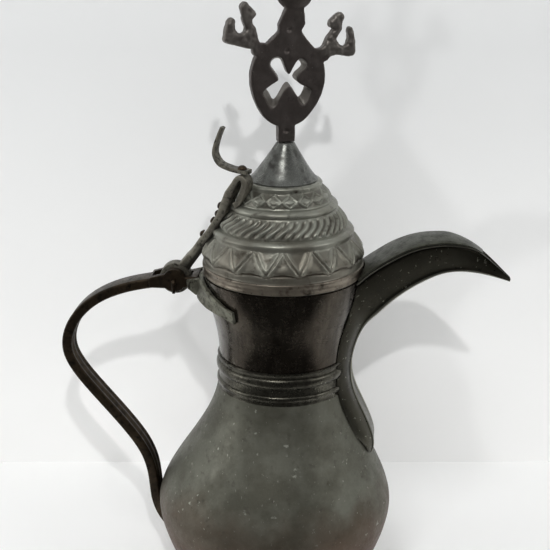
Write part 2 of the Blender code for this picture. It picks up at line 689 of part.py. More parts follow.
def build_lid(parts, cutters, finish, hinge):
    """The dome, its rim band and inner collar, the leaning cone and the washer under its tip."""
    outside = lid_profile()
    dome = turned("lid_dome", outside + lid_inside(), parts, finish["lid"])

    edge = LID_BASE + BAND_HEIGHT
    soft = LID_WALL / 2
    band = [(LID_RADIUS - soft / 2, edge), (LID_RADIUS, edge - soft)]
    band += [(LID_RADIUS, LID_BASE + soft), (LID_RADIUS - soft / 2, LID_BASE)]
    band += [(LID_RADIUS - LID_WALL, LID_BASE), (LID_RADIUS - LID_WALL, edge)]
    rim_band = turned("lid_rim_band", band, parts, finish["lid"])

    bore = LID_RADIUS - 2 * LID_WALL - 2 * GAP
    drop = RIM_RADIUS - WALL - SKIRT_GAP - 0.0010
    skirt = [(bore, edge), (bore, LID_BASE + 0.0016), (drop, LID_BASE + 0.0008), (drop, RIM_HEIGHT - SKIRT_DEPTH)]
    skirt += [(drop - LID_WALL, RIM_HEIGHT - SKIRT_DEPTH), (drop - LID_WALL, edge)]
    collar = turned("lid_inner_collar", skirt, parts, finish["lid"])

    hole = TENON_RADIUS + 2 * GAP
    foot = CONE_BASE + GAP
    flare = CONE_RADIUS - 0.0034
    cone = [(hole, CONE_TOP), (CONE_TIP_RADIUS, CONE_TOP), (flare, foot + 0.0028), (CONE_RADIUS, foot)]
    cone += [(CONE_RADIUS - 1.6 * LID_WALL, foot), (flare - 1.2 * LID_WALL, foot + 0.0026)]
    cone += [(CONE_TIP_RADIUS - 0.6 * LID_WALL, CONE_TOP - LID_WALL), (hole, CONE_TOP - LID_WALL)]
    peak = turned("lid_cone", cone, parts, finish["lid"])
    for point in peak.data.vertices:
        point.co.x += CONE_LEAN * (point.co.z - CONE_BASE) / CONE_HEIGHT

    under = CONE_TOP - LID_WALL - GAP
    below = under - WASHER_THICKNESS
    washer = [(hole, under), (WASHER_RADIUS, under), (WASHER_RADIUS, below), (hole, below)]
    ring = turned("finial_washer", washer, parts, finish["iron"], 24)
    ring.data.transform(Matrix.Translation((CONE_LEAN, 0.0, 0.0)))

    envelope = [(0.0, CONE_TOP), (CONE_TIP_RADIUS + GAP, CONE_TOP), (CONE_RADIUS + GAP, CONE_BASE + 2 * GAP)]
    envelope += [(r + GAP, z) for r, z in outside[:-2]]
    envelope += [(LID_RADIUS + GAP, LID_BASE + BAND_HEIGHT), (LID_RADIUS + GAP, LID_BASE), (0.0, LID_BASE)]
    room = turned("lid_envelope", envelope, cutters)
    for piece in (dome, rim_band, collar, peak, ring):
        hang(piece, hinge)
    return room


def hang(obj, hinge):
    """Parent a piece to the hinge without moving it."""
    obj.parent = hinge
    obj.matrix_parent_inverse = hinge.matrix_world.inverted()
    return obj


def disc_outline(base):
    """The stem, the egg-shaped disc and the waisted neck under the knob, as one closed outline."""
    stem = STEM_WIDTH / 2
    neck = base + STEM_HEIGHT
    top = neck + DISC_HEIGHT
    wide = (DISC_WIDTH / 2, base + STEM_HEIGHT + 0.60 * DISC_HEIGHT)
    under = base + KNOB_HEIGHT - KNOB_RADIUS * 0.72
    foot = (stem, neck - 0.02 * DISC_HEIGHT)
    half = bezier(foot, (stem * 2.6, neck), (wide[0], wide[1] - 0.28 * DISC_HEIGHT), wide, 8)
    half += bezier(wide, (wide[0], wide[1] + 0.12 * DISC_HEIGHT), (wide[0] * 0.92, wide[1] + 0.22 * DISC_HEIGHT),
                   (wide[0] * 0.80, top - 0.10 * DISC_HEIGHT), 4)[1:]
    half += [(wide[0] * 0.48, top + 0.06 * DISC_HEIGHT), (wide[0] * 0.29, top + 0.17 * DISC_HEIGHT)]
    half += [(wide[0] * 0.35, top + 0.25 * DISC_HEIGHT), (wide[0] * 0.22, under)]
    right, left = [(stem, base)], [(-stem, base)]
    for x, z in half:
        shift = DISC_SHIFT * ease((z - neck) / (DISC_HEIGHT / 2))
        shift += (KNOB_SHIFT - DISC_SHIFT) * ease((z - top) / (under - top))
        right.append((shift + x, z))
        left.append((shift - x, z))
    return right + left[::-1]


def build_finial(parts, cutters, finish, hinge):
    """The pierced disc with its stem, two birds and a knob, drawn upright at Y = 0 and then turned."""
    base = FINIAL_BASE
    size = DISC_HEIGHT
    outlines = (CROSS, BIRD_LEFT, BIRD_RIGHT)
    cross, *birds = [[(x * size, base + z * size) for x, z in outline] for outline in outlines]
    plate = flat("finial_plate", [disc_outline(base), cross], FINIAL_THICKNESS, parts, finish["iron"])
    for outline in birds:
        combine(plate, flat("bird", [outline], FINIAL_THICKNESS * 0.9, cutters), "UNION")
    bpy.ops.mesh.primitive_uv_sphere_add(segments=20, ring_count=10, radius=KNOB_RADIUS)
    knob = bpy.context.active_object
    knob.name = "knob"
    place = Matrix.Translation((KNOB_SHIFT, 0.0, base + KNOB_HEIGHT))
    knob.data.transform(place @ Matrix.Diagonal((1.0, 0.5, 1.0, 1.0)))
    for other in list(knob.users_collection):
        other.objects.unlink(knob)
    cutters.objects.link(knob)
    combine(plate, knob, "UNION")
    end = CONE_TOP - LID_WALL - WASHER_THICKNESS - 2 * GAP
    tenon = rod("tenon", (0.0, 0.0, end), (0.0, 0.0, base + STEM_HEIGHT / 3), TENON_RADIUS, cutters)
    combine(plate, tenon, "UNION")
    bpy.context.view_layer.update()
    plate = smooth(frozen(plate))
    plate.data.transform(Matrix.Translation((CONE_LEAN, 0.0, 0.0)) @ Matrix.Rotation(FINIAL_TURN, 4, "Z"))
    hang(plate, hinge)


def strap_side(along):
    """How far the strap has wandered to the near side, at a distance from the pin."""
    return -STRAP_SKEW * max(0.0, along - STRAP_SKEW_START)


def skewed(obj):
    """Move a flat piece drawn at the pin to its place, sheared sideways along its run."""
    for point in obj.data.vertices:
        point.co.y += strap_side(point.co.x)
    obj.data.transform(Matrix.Translation(PIN))
    return obj


def build_strap(parts, cutters, room, finish, hinge):
    """The lid's strap: a barrel on the pin, a bar up the lid, a rolled loop with the thumb lift on top."""
    path = smooth_path([(x * LOOP_RISE, z * LOOP_RISE) for x, z in STRAP], 2)
    thick = [STRAP_ROOT + (STRAP_THICKNESS - STRAP_ROOT) * ease(i / 8) for i in range(len(path))]
    bar = ribbon(path, thick)
    strap = skewed(flat("hinge_strap", [bar], STRAP_WIDTH, parts, finish["strap"]))
    half = Vector((0.0, BARREL_WIDTH / 2, 0.0))
    combine(strap, rod("barrel", PIN - half, PIN + half, BARREL_RADIUS, cutters, sides=28), "UNION")
    bore = Vector((0.0, FORK_WIDTH, 0.0))
    combine(strap, rod("barrel_bore", PIN - bore, PIN + bore, PIN_RADIUS + GAP, cutters, sides=16), "DIFFERENCE")
    combine(strap, room, "DIFFERENCE")

    for number, along in enumerate(RIVET_SPANS, start=1):
        here = (path[along] + path[along + 1]) / 2
        run = (path[along + 1] - path[along]).normalized()
        out = Vector((-run[1], run[0]))
        deep = max(thick[along], thick[along + 1]) / 2
        face = here + out * (deep + GAP)
        tip = here - out * deep
        side = strap_side(here[0])
        ends = [PIN + Vector((p[0], side, p[1])) for p in (tip, face, face + out * RIVET_HEAD * 0.65)]
        start = ends[0] - (ends[1] - ends[0])
        hole = rod(f"rivet_hole_{number}", start, ends[1], RIVET_SHANK + GAP, cutters, sides=12)
        combine(strap, hole, "DIFFERENCE")
        rivet = rod(f"strap_rivet_{number}", ends[1], ends[2], RIVET_HEAD, parts, finish["iron"], sides=14)
        inner = ends[0].lerp(ends[1], 0.5)
        shank = rod(f"rivet_shank_{number}", inner, ends[1].lerp(ends[2], 0.5), RIVET_SHANK, cutters, sides=12)
        combine(rivet, shank, "UNION")
        hang(rivet, hinge)

    seat = LOOP_RISE + STRAP_THICKNESS / 2 + 2 * GAP + LIFT_THICKNESS / 2
    curl = [(x * LOOP_RISE, seat + z * LOOP_RISE) for x, z in LIFT]
    path = smooth_path(curl, 2)
    taper = [LIFT_THICKNESS * (1.0 - 0.3 * i / (len(path) - 1)) for i in range(len(path))]
    lift = skewed(flat("thumb_lift", [ribbon(path, taper)], LIFT_WIDTH, parts, finish["strap"]))

    head = seat + LIFT_THICKNESS / 2 + GAP
    x = curl[1][0]
    levels = (seat - LIFT_THICKNESS / 2, head, head + RIVET_HEAD)
    foot, *ends = [PIN + Vector((x, strap_side(x), z)) for z in levels]
    through = ends[0] - foot
    hole = rod("lift_hole", foot - through, ends[0] + through, RIVET_SHANK + GAP, cutters, sides=12)
    combine(lift, hole, "DIFFERENCE")
    rivet = rod("thumb_rivet", ends[0], ends[1], RIVET_HEAD * 1.2, parts, finish["iron"], sides=14)
    shank = rod("lift_shank", foot, (ends[0] + ends[1]) / 2, RIVET_SHANK, cutters, sides=12)
    combine(rivet, shank, "UNION")
    for piece in (strap, lift, rivet):
        hang(piece, hinge)


def main():
    """Build every piece of the pot."""
    clear_scene()
    parts = new_collection("dallah_coffee_pot")
    cutters = new_collection("cutters")
    finish = {
        "body": metal("patinated_brass", (0.145, 0.150, 0.128), 0.50),
        "lid": metal("embossed_brass", (0.160, 0.165, 0.142), 0.48),
        "spout": metal("dark_spout_brass", (0.085, 0.080, 0.062), 0.52),
        "iron": metal("browned_casting", (0.070, 0.058, 0.048), 0.55),
        "strap": metal("worn_strap_iron", (0.150, 0.142, 0.128), 0.50),
    }
    hinge = bpy.data.objects.new("lid_hinge", None)
    hinge.location = PIN
    parts.objects.link(hinge)
    bpy.context.view_layer.update()

    belly, neck = build_pot(parts, cutters, finish)
    envelope = pot_envelope(belly, neck, cutters)
    build_spout(belly, neck, parts, envelope, finish)
    build_handle(belly, neck, parts, cutters, envelope, finish)
    room = build_lid(parts, cutters, finish, hinge)
    build_finial(parts, cutters, finish, hinge)
    build_strap(parts, cutters, room, finish, hinge)
    for guide in cutters.objects:
        guide.hide_render = True
        guide.display_type = "WIRE"


if __name__ == "__main__":
    main()
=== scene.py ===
"""Looks of a tall brass coffee pot with a beak spout, a bar handle and a hinged, tiered lid.

Metres, +Z up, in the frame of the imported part. The origin is on the neck's axis in the base plane, and +X
points to the spout.
"""

from __future__ import annotations

import logging
import math
from dataclasses import dataclass
from enum import Enum
from typing import Callable, Sequence

import bmesh
import bpy
from mathutils import Matrix, Vector, noise


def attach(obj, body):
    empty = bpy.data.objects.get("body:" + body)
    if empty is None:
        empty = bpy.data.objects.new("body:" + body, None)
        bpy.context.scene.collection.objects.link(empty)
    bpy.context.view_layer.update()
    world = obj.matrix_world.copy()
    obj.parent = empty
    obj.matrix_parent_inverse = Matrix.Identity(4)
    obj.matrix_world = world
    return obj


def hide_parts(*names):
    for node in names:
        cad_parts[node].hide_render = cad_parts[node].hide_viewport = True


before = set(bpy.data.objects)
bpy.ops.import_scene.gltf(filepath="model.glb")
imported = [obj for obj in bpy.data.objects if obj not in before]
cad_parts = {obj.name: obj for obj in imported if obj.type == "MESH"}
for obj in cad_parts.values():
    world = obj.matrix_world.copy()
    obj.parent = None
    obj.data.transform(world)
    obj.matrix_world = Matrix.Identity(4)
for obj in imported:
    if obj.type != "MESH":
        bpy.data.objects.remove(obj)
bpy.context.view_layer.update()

log = logging.getLogger("coffee_pot")
MM = 0.001
TURN = 2 * math.pi
Pair = tuple[float, float]
Piece = bpy.types.Object
Tree = bpy.types.NodeTree
Socket = bpy.types.NodeSocket


class Body(Enum):
    """The two bodies of the part that a piece can ride on."""

    POT = "pot"
    LID = "lid"


class Slot(Enum):
    """The record's material slots."""

    BODY = "body_brass"
    LID = "lid_brass"
    SPOUT = "spout_brass"
    CAST = "cast_brass"
    STRAP = "strap_brass"


# Numbers and curves


def bezier(start: Pair, lean_out: Pair, lean_in: Pair, end: Pair, steps: int) -> list[Pair]:
    """Sample one cubic Bezier.

    Args:
        start: first point.
        lean_out: handle of the first point.
        lean_in: handle of the last point.
        end: last point.
        steps: number of spans.

    Returns:
        The points, both ends included.
    """
    points = []
    for i in range(steps + 1):
        t = i / steps
        weights = ((1 - t) ** 3, 3 * t * (1 - t) ** 2, 3 * t * t * (1 - t), t**3)
        corners = (start, lean_out, lean_in, end)
        points.append(tuple(sum(w * c[k] for w, c in zip(weights, corners)) for k in (0, 1)))
    return points


def smooth_path(points: Sequence[Sequence[float]], steps: int) -> list[Vector]:
    """Draw a Catmull-Rom curve through points.

    Args:
        points: the points to pass through.
        steps: spans between neighbours.

    Returns:
        The sampled curve.
    """
    path = []
    last = len(points) - 1
    for i in range(last):
        a, b, c, d = (Vector(points[max(0, min(last, i + k))]) for k in (-1, 0, 1, 2))
        for s in range(steps):
            t = s / steps
            bend = (2 * a - 5 * b + 4 * c - d) * t**2 + (3 * b - a - 3 * c + d) * t**3
            path.append(0.5 * (2 * b + (c - a) * t + bend))
    path.append(Vector(points[-1]))
    return path


def relax(path: Sequence[Vector], rounds: int) -> list[Vector]:
    """Even out the small waves in a path and keep its ends and its broad bends.

    Args:
        path: the sampled path.
        rounds: how many times each point moves half way to its neighbours.

    Returns:
        The calmer path.
    """
    calm = list(path)
    for _ in range(rounds):
        inner = [(a + 2 * b + c) / 4 for a, b, c in zip(calm, calm[1:], calm[2:])]
        calm = [calm[0]] + inner + [calm[-1]]
    lost = [a - b for a, b in zip(path, calm)]
    for _ in range(rounds):
        inner = [(a + 2 * b + c) / 4 for a, b, c in zip(lost, lost[1:], lost[2:])]
        lost = [lost[0]] + inner + [lost[-1]]
    return [a + b for a, b in zip(calm, lost)]


def rounded(points: Sequence[Pair], steps: int) -> list[Pair]:
    """Draw a closed curve through points.

    Args:
        points: the corners of the outline, in order.
        steps: spans between neighbours.

    Returns:
        The sampled outline, in the points' own units.
    """
    points = list(points)
    path = smooth_path([points[-1], *points, *points[:2]], steps)
    return [(x, z) for x, z in path[steps:steps * (len(points) + 1)]]


def heading(path: Sequence[Vector], i: int) -> Vector:
    """Find the unit direction of a path at one of its points."""
    return (path[min(i + 1, len(path) - 1)] - path[max(i - 1, 0)]).normalized()


def drawn_from(r: float, z: float) -> Callable[[float, float], Pair]:
    """Make a drawing aid that places points by their offsets from one point, in millimetres."""
    return lambda out, up: (r + out * MM, z + up * MM)


def flipped(points: Sequence[Vector]) -> list[Vector]:
    """Mirror points to the far side."""
    return [Vector((p.x, -p.y, p.z)) for p in points]


def ease(t: float) -> float:
    """Step smoothly from 0 to 1."""
    t = min(max(t, 0.0), 1.0)
    return t * t * (3 - 2 * t)


def ridge(distance: float, width: float) -> float:
    """Give the height of a rounded ridge, 1 on its line and near 0 a width away."""
    return math.exp(-((distance / width) ** 2))


def radius_at(profile: Sequence[Pair], height: float) -> float:
    """Read a profile's radius at a height.

    Args:
        profile: (radius, height) points from top to bottom.
        height: where to read it.

    Returns:
        The radius there.
    """
    for (r_high, z_high), (r_low, z_low) in zip(profile, profile[1:]):
        if z_low <= height <= z_high and z_high > z_low:
            return r_low + (r_high - r_low) * (height - z_low) / (z_high - z_low)
    return profile[0][0] if height > profile[0][1] else profile[-1][0]


def offset_inward(profile: Sequence[Pair], wall: float) -> list[Pair]:
    """Move a profile inwards along its normals by a wall's thickness."""
    moved = []
    for i, (r, z) in enumerate(profile):
        r_up, z_up = profile[max(i - 1, 0)]
        r_down, z_down = profile[min(i + 1, len(profile) - 1)]
        normal = Vector((z_up - z_down, r_down - r_up)).normalized()
        moved.append((r - normal[0] * wall, z - normal[1] * wall))
    return moved


# Modelling steps


def deselect() -> None:
    """Leave edit mode and select nothing."""
    if bpy.context.object is not None and bpy.context.object.mode != "OBJECT":
        bpy.ops.object.mode_set(mode="OBJECT")
    bpy.ops.object.select_all(action="DESELECT")


def pick(obj: Piece) -> None:
    """Select one object alone and make it active."""
    deselect()
    obj.select_set(True)
    bpy.context.view_layer.objects.active = obj


def tidy_mesh(obj: Piece, merge: float = 1e-6) -> None:
    """Merge doubled points and turn every face outwards."""
    pick(obj)
    bpy.ops.object.mode_set(mode="EDIT")
    bpy.ops.mesh.select_all(action="SELECT")
    bpy.ops.mesh.remove_doubles(threshold=merge)
    bpy.ops.mesh.normals_make_consistent(inside=False)
    bpy.ops.object.mode_set(mode="OBJECT")


def shade(obj: Piece, degrees: float = 40.0) -> None:
    """Shade a piece smooth, with sharp edges above an angle."""
    pick(obj)
    bpy.ops.object.shade_smooth_by_angle(angle=math.radians(degrees))


def apply_modifier(obj: Piece, kind: str, **settings: object) -> None:
    """Add one modifier, set it and apply it."""
    pick(obj)
    change = obj.modifiers.new(kind.lower(), kind)
    for key, value in settings.items():
        setattr(change, key, value)
    bpy.ops.object.modifier_apply(modifier=change.name)


def round_edges(obj: Piece, width: float, segments: int = 2) -> None:
    """Round a piece's sharp edges off."""
    limit = math.radians(50)
    apply_modifier(obj, "BEVEL", width=width, segments=segments, limit_method="ANGLE", angle_limit=limit)


def keep_relief(obj: Piece, levels: Sequence[float]) -> None:
    """Store one level for each point as the relief attribute, which the finishes read."""
    store = obj.data.attributes.new("relief", "FLOAT", "POINT")
    store.data.foreach_set("value", levels)


def link_new(name: str, data: bpy.types.ID) -> Piece:
    """Add an object with its data to the scene."""
    obj = bpy.data.objects.new(name, data)
    bpy.context.scene.collection.objects.link(obj)
    return obj


def boolean(obj: Piece, tool: Piece, operation: str) -> None:
    """Join a tool shape to a piece, or cut it away, and remove the tool."""
    apply_modifier(obj, "BOOLEAN", operation=operation, object=tool, solver="EXACT")
    bpy.data.objects.remove(tool, do_unlink=True)


def lathe(name: str, loop: Sequence[Pair], steps: int) -> Piece:
    """Spin a closed profile round Z.

    Args:
        name: the piece's name.
        loop: closed (radius, height) profile.
        steps: spans round the axis.

    Returns:
        The turned piece.
    """
    deselect()
    bpy.ops.mesh.primitive_circle_add(vertices=len(loop), radius=loop[0][0] + MM)
    obj = bpy.context.object
    obj.name = name
    for point, (r, z) in zip(obj.data.vertices, loop):
        point.co = (r, 0.0, z)
    bpy.ops.object.mode_set(mode="EDIT")
    bpy.ops.mesh.select_all(action="SELECT")
    bpy.ops.mesh.spin(steps=steps, angle=TURN, center=(0, 0, 0), axis=(0, 0, 1))
    bpy.ops.object.mode_set(mode="OBJECT")
    tidy_mesh(obj)
    return obj


def plate(name: str, outline: Sequence[Pair], thickness: float, bevel: float = 0.0) -> Piece:
    """Extrude a flat outline, drawn in XZ and centred on Y.

    Args:
        name: the piece's name.
        outline: closed (x, z) outline.
        thickness: extent along Y.
        bevel: width of the rounded edges.

    Returns:
        The plate.
    """
    deselect()
    bpy.ops.mesh.primitive_circle_add(vertices=len(outline), radius=0.01, fill_type="NGON")
    obj = bpy.context.object
    obj.name = name
    for point, (x, z) in zip(obj.data.vertices, outline):
        point.co = (x, -thickness / 2, z)
    bpy.ops.object.mode_set(mode="EDIT")
    bpy.ops.mesh.select_all(action="SELECT")
    bpy.ops.mesh.extrude_region_move(TRANSFORM_OT_translate={"value": (0.0, thickness, 0.0)})
    bpy.ops.object.mode_set(mode="OBJECT")
    tidy_mesh(obj)
    if bevel > 0.0:
        round_edges(obj, bevel, 3)
    return obj


def rod(name: str, start: Vector, end: Vector, radius: float, sides: int = 24) -> Piece:
    """Make a round bar between two points, for a bore or a core."""
    deselect()
    axis = end - start
    bpy.ops.mesh.primitive_cylinder_add(vertices=sides, radius=radius, depth=axis.length)
    obj = bpy.context.object
    obj.name = name
    turn = axis.to_track_quat("Z", "Y").to_matrix().to_4x4()
    obj.data.transform(Matrix.Translation((start + end) / 2) @ turn)
    return obj


def loft(name: str, sections: Sequence[Sequence[Vector]]) -> Piece:
    """Skin closed sections, because no primitive bends into these bars.

    Args:
        name: the piece's name.
        sections: rings of matching points, in order.

    Returns:
        The closed piece.
    """
    mesh = bpy.data.meshes.new(name)
    work = bmesh.new()
    rows = [[work.verts.new(p) for p in section] for section in sections]
    count = len(rows[0])
    for row, after in zip(rows, rows[1:]):
        for i in range(count):
            j = (i + 1) % count
            work.faces.new((row[i], row[j], after[j], after[i]))
    work.faces.new(rows[0][::-1])
    work.faces.new(rows[-1])
    work.to_mesh(mesh)
    work.free()
    obj = link_new(name, mesh)
    tidy_mesh(obj)
    return obj


# Flutes of a bar's inner face: where they are drawn and how far they reach, in half widths
FLUTE_PLACES = (-0.72, -0.58, -0.44, -0.30, -0.15, 0.0, 0.15, 0.30, 0.44, 0.58, 0.72)
FLUTE_REACH = 0.88


def bar_section(width: float, thickness: float, corner: float, flutes: float = 0.0) -> list[Pair]:
    """Draw the section of a flat bar, with rounded corners and two flutes on its inner face.

    Args:
        width: extent along the bar's own width.
        thickness: extent along its thickness.
        corner: radius of the corners.
        flutes: depth of the flutes.

    Returns:
        (across, out) points; the inner face lies at negative out.
    """
    half_w, half_t = width / 2, thickness / 2
    points: list[Pair] = []
    for turn_x, turn_z, first in ((1, 1, 0), (-1, 1, 90), (-1, -1, 180), (1, -1, 270)):
        for step in range(5):
            angle = math.radians(first + step * 22.5)
            centre = (turn_x * (half_w - corner), turn_z * (half_t - corner))
            points.append((centre[0] + corner * math.cos(angle), centre[1] + corner * math.sin(angle)))
        if first == 180 and flutes > 0.0:
            for share in FLUTE_PLACES:
                dip = flutes * (0.5 - 0.5 * math.cos(TURN * abs(share) / FLUTE_REACH))
                points.append((share * half_w, -half_t + dip))
    return points


def weather(obj: Piece, depth: float, size: float, seed: float) -> None:
    """Push a piece's points in and out a little, as beaten or cast metal is never true."""
    obj.data.update()
    normals = [point.normal.copy() for point in obj.data.vertices]
    for point, normal in zip(obj.data.vertices, normals):
        point.co += normal * (depth * noise.noise(point.co / size + Vector((seed, 0.0, 0.0))))


# Finishes


def linear(code: str) -> tuple[float, float, float, float]:
    """Turn an sRGB hex colour into linear RGBA."""
    channels = [int(code[i : i + 2], 16) / 255 for i in (1, 3, 5)]
    return (*[c / 12.92 if c <= 0.04045 else ((c + 0.055) / 1.055) ** 2.4 for c in channels], 1.0)


def add_node(tree: Tree, kind: str, values: dict | None = None, links: dict | None = None) -> bpy.types.Node:
    """Add a node, set it and link it.

    Args:
        tree: the material's tree.
        kind: the node's type name.
        values: socket values by name or number, or node settings by name.
        links: sockets that feed its inputs, by name or number.

    Returns:
        The node.
    """
    node = tree.nodes.new(kind)
    for key, value in (values or {}).items():
        if isinstance(key, int) or key in node.inputs:
            node.inputs[key].default_value = value
        else:
            setattr(node, key, value)
    for key, socket in (links or {}).items():
        tree.links.new(socket, node.inputs[key])
    return node


def noise_marks(tree: Tree, place: Socket, size_mm: float, detail: float) -> Socket:
    """Add noise with marks of a real size."""
    values = {"Scale": 1.0 / (size_mm * MM), "Detail": detail, "Roughness": 0.58}
    return add_node(tree, "ShaderNodeTexNoise", values, {"Vector": place}).outputs["Fac"]


def stops(tree: Tree, value: Socket, low: float, high: float) -> Socket:
    """Stretch a value so that low gives 0 and high gives 1."""
    return add_node(tree, "ShaderNodeMapRange", {"From Min": low, "From Max": high}, {0: value}).outputs[0]


def combine(tree: Tree, operation: str, first: Socket, second: Socket | float) -> Socket:
    """Combine a value with another, or with a number."""
    values: dict = {"operation": operation}
    links = {0: first}
    if isinstance(second, float):
        values[1] = second
    else:
        links[1] = second
    return add_node(tree, "ShaderNodeMath", values, links).outputs[0]


def part_of(tree: Tree, place: Socket, axis: str) -> Socket:
    """Read one axis of a place."""
    return add_node(tree, "ShaderNodeSeparateXYZ", None, {0: place}).outputs[axis]


def blend(tree: Tree, share: Socket, first: str, second: str) -> Socket:
    """Mix two fixed colours."""
    values = {"data_type": "RGBA", 6: linear(first), 7: linear(second)}
    return add_node(tree, "ShaderNodeMix", values, {0: share}).outputs[2]


def lay_over(tree: Tree, share: Socket, under: Socket, over: str) -> Socket:
    """Lay a fixed colour over a changing one."""
    values = {"data_type": "RGBA", 7: linear(over)}
    return add_node(tree, "ShaderNodeMix", values, {0: share, 6: under}).outputs[2]


# How softly the marks of a finish begin, as shares of their noise
GRIME_EDGE = 0.16
BLOOM_EDGE = 0.06
SCRATCH_EDGE = 0.065
# How a changed tone wanders up from a piece's foot
FOOT_WANDER_MM = 45.0
FOOT_RISE_MM = 22.0
FOOT_SWAY = 0.06


@dataclass(frozen=True)
class Finish:
    """One weathered brass finish: its colours, its gloss and the sizes of its marks in millimetres."""

    name: str
    patina: str
    patina_dark: str
    grime_and_shade: str
    bloom: str
    wear_and_sheen: str
    metallic: float = 0.72
    roughness: float = 0.40
    blotch_mm: float = 26.0
    grain_mm: float = 1.6
    cloud_low: float = 0.38
    cloud_high: float = 0.64
    grime_share: float = 0.50
    bloom_share: float = 0.70
    fleck_mm: float = 5.5
    scratch_mm: float = 14.0
    scratch_share: float = 0.735
    rub_and_sheen_share: float = 0.35
    bump_mm: float = 0.10
    relief: bool = False
    foot_colour: str = ""
    foot_height_mm: float = 0.0
    foot_fade_mm: float = 80.0
    streaks: bool = False

    def make(self) -> bpy.types.Material:
        """Build the node material.

        Returns:
            The material, on Object coordinates and the relief attribute.
        """
        made = bpy.data.materials.new(self.name)
        made.use_nodes = True
        tree = made.node_tree
        shader = tree.nodes["Principled BSDF"]
        place = add_node(tree, "ShaderNodeTexCoord").outputs["Object"]
        blotch = noise_marks(tree, place, self.blotch_mm, 5.0)
        clouds = stops(tree, blotch, self.cloud_low, self.cloud_high)
        colour = blend(tree, clouds, self.patina, self.patina_dark)
        if self.streaks:
            # Wiped and drained metal shows upright streaks.
            upright = {"Scale": (1.0, 1.0, 0.09)}
            drawn = add_node(tree, "ShaderNodeMapping", upright, {"Vector": place}).outputs[0]
            streak = noise_marks(tree, drawn, 6.0, 3.0)
            colour = lay_over(tree, stops(tree, streak, 0.44, 0.66), colour, self.grime_and_shade)
        if self.foot_colour:
            # The piece changes tone towards its foot.
            middle = (self.foot_height_mm + FOOT_RISE_MM) * MM
            half = self.foot_fade_mm * MM / 2
            links = {0: noise_marks(tree, place, FOOT_WANDER_MM, 3.0), 2: part_of(tree, place, "Z")}
            values = {"operation": "MULTIPLY_ADD", 1: FOOT_SWAY}
            lifted = add_node(tree, "ShaderNodeMath", values, links).outputs[0]
            share = stops(tree, lifted, middle + half, middle - half)
            colour = lay_over(tree, share, colour, self.foot_colour)
        mark = noise_marks(tree, place, self.blotch_mm * 0.30, 8.0)
        dirt = stops(tree, mark, self.grime_share, self.grime_share + GRIME_EDGE)
        colour = lay_over(tree, dirt, colour, self.grime_and_shade)
        fleck = noise_marks(tree, place, self.fleck_mm, 6.0)
        dust = stops(tree, fleck, self.bloom_share, self.bloom_share + BLOOM_EDGE)
        colour = lay_over(tree, dust, colour, self.bloom)
        colour = lay_over(tree, self.scratches(tree, place), colour, self.wear_and_sheen)
        if self.relief:
            # Low relief levels darken and high ones brighten: on the lid and the finial this is dirt, dust
            # and rubbed wear; on the spout and the strap it is painted shade and painted highlight.
            height = add_node(tree, "ShaderNodeAttribute", {"attribute_name": "relief"}).outputs["Fac"]
            colour = lay_over(tree, stops(tree, height, 0.42, 0.10), colour, self.grime_and_shade)
            rub_and_sheen = combine(tree, "MULTIPLY", stops(tree, height, 0.62, 1.0), self.rub_and_sheen_share)
            colour = lay_over(tree, rub_and_sheen, colour, self.wear_and_sheen)
        spread = combine(tree, "ADD", mark, noise_marks(tree, place, self.grain_mm, 8.0))
        values = {"From Min": 0.70, "From Max": 1.30}
        values |= {"To Min": self.roughness - 0.10, "To Max": self.roughness + 0.16}
        gloss = add_node(tree, "ShaderNodeMapRange", values, {0: spread}).outputs[0]
        values = {"Strength": 0.45, "Distance": self.bump_mm * MM}
        bump = add_node(tree, "ShaderNodeBump", values, {"Height": spread}).outputs[0]
        shader.inputs["Metallic"].default_value = self.metallic
        tree.links.new(colour, shader.inputs["Base Color"])
        tree.links.new(gloss, shader.inputs["Roughness"])
        tree.links.new(bump, shader.inputs["Normal"])
        return made

    def scratches(self, tree: Tree, place: Socket) -> Socket:
        """Thin lines of wear at two slants, drawn a little coarser than life so that they show."""
        lines = []
        for slant, seed in ((0.5, 3.0), (-0.8, 11.0)):
            values = {"Rotation": (slant, 0.4 * slant, seed), "Scale": (1.0, 0.035, 0.6)}
            drawn = add_node(tree, "ShaderNodeMapping", values, {"Vector": place}).outputs[0]
            streak = noise_marks(tree, drawn, self.scratch_mm * 0.12, 2.0)
            lines.append(stops(tree, streak, self.scratch_share, self.scratch_share + SCRATCH_EDGE))
        return combine(tree, "MULTIPLY", combine(tree, "MAXIMUM", *lines), 0.5)


# Raised sheet brass under a grey-green patina: soft satin light with faint darker clouds.
RAISED_BRASS = Finish(
    "raised_sheet_brass", "#69695f", "#55544a", "#45413a", "#95968b", "#a3a298", roughness=0.50,
    cloud_low=0.40, cloud_high=0.62, grime_share=0.615, bloom_share=0.66, scratch_share=0.70,
    foot_colour="#523a2b", foot_height_mm=80.0, foot_fade_mm=50.0
)
# The same sheet on the neck, wiped and handled: near-black brown with a soft gloss.
NECK_BRASS = Finish(
    "wiped_neck_brass", "#4c473f", "#443e37", "#37322c", "#86847a", "#8b8779", metallic=0.95, roughness=0.20,
    streaks=True, grime_share=0.66
)
# Waist ring: the same sheet, greyer.
RING_BRASS = Finish(
    "rubbed_ring_brass", "#5d5b52", "#4b4941", "#34312b", "#8e8d83", "#98968b", metallic=0.92, roughness=0.28
)
# Embossed lid: the same sheet as the belly, painted paler for the light that falls on it from above; rubbed
# crests and dirt in the hollows make the pattern read.
EMBOSSED_PAINTED_LIGHT_BRASS = Finish(
    "embossed_lid_painted_light_brass", "#8c8d83", "#706e64", "#3a342c", "#a3a499", "#b4b5a8", metallic=0.76,
    roughness=0.38, relief=True, grime_share=0.57, foot_colour="#655a4e", foot_height_mm=246.0
)
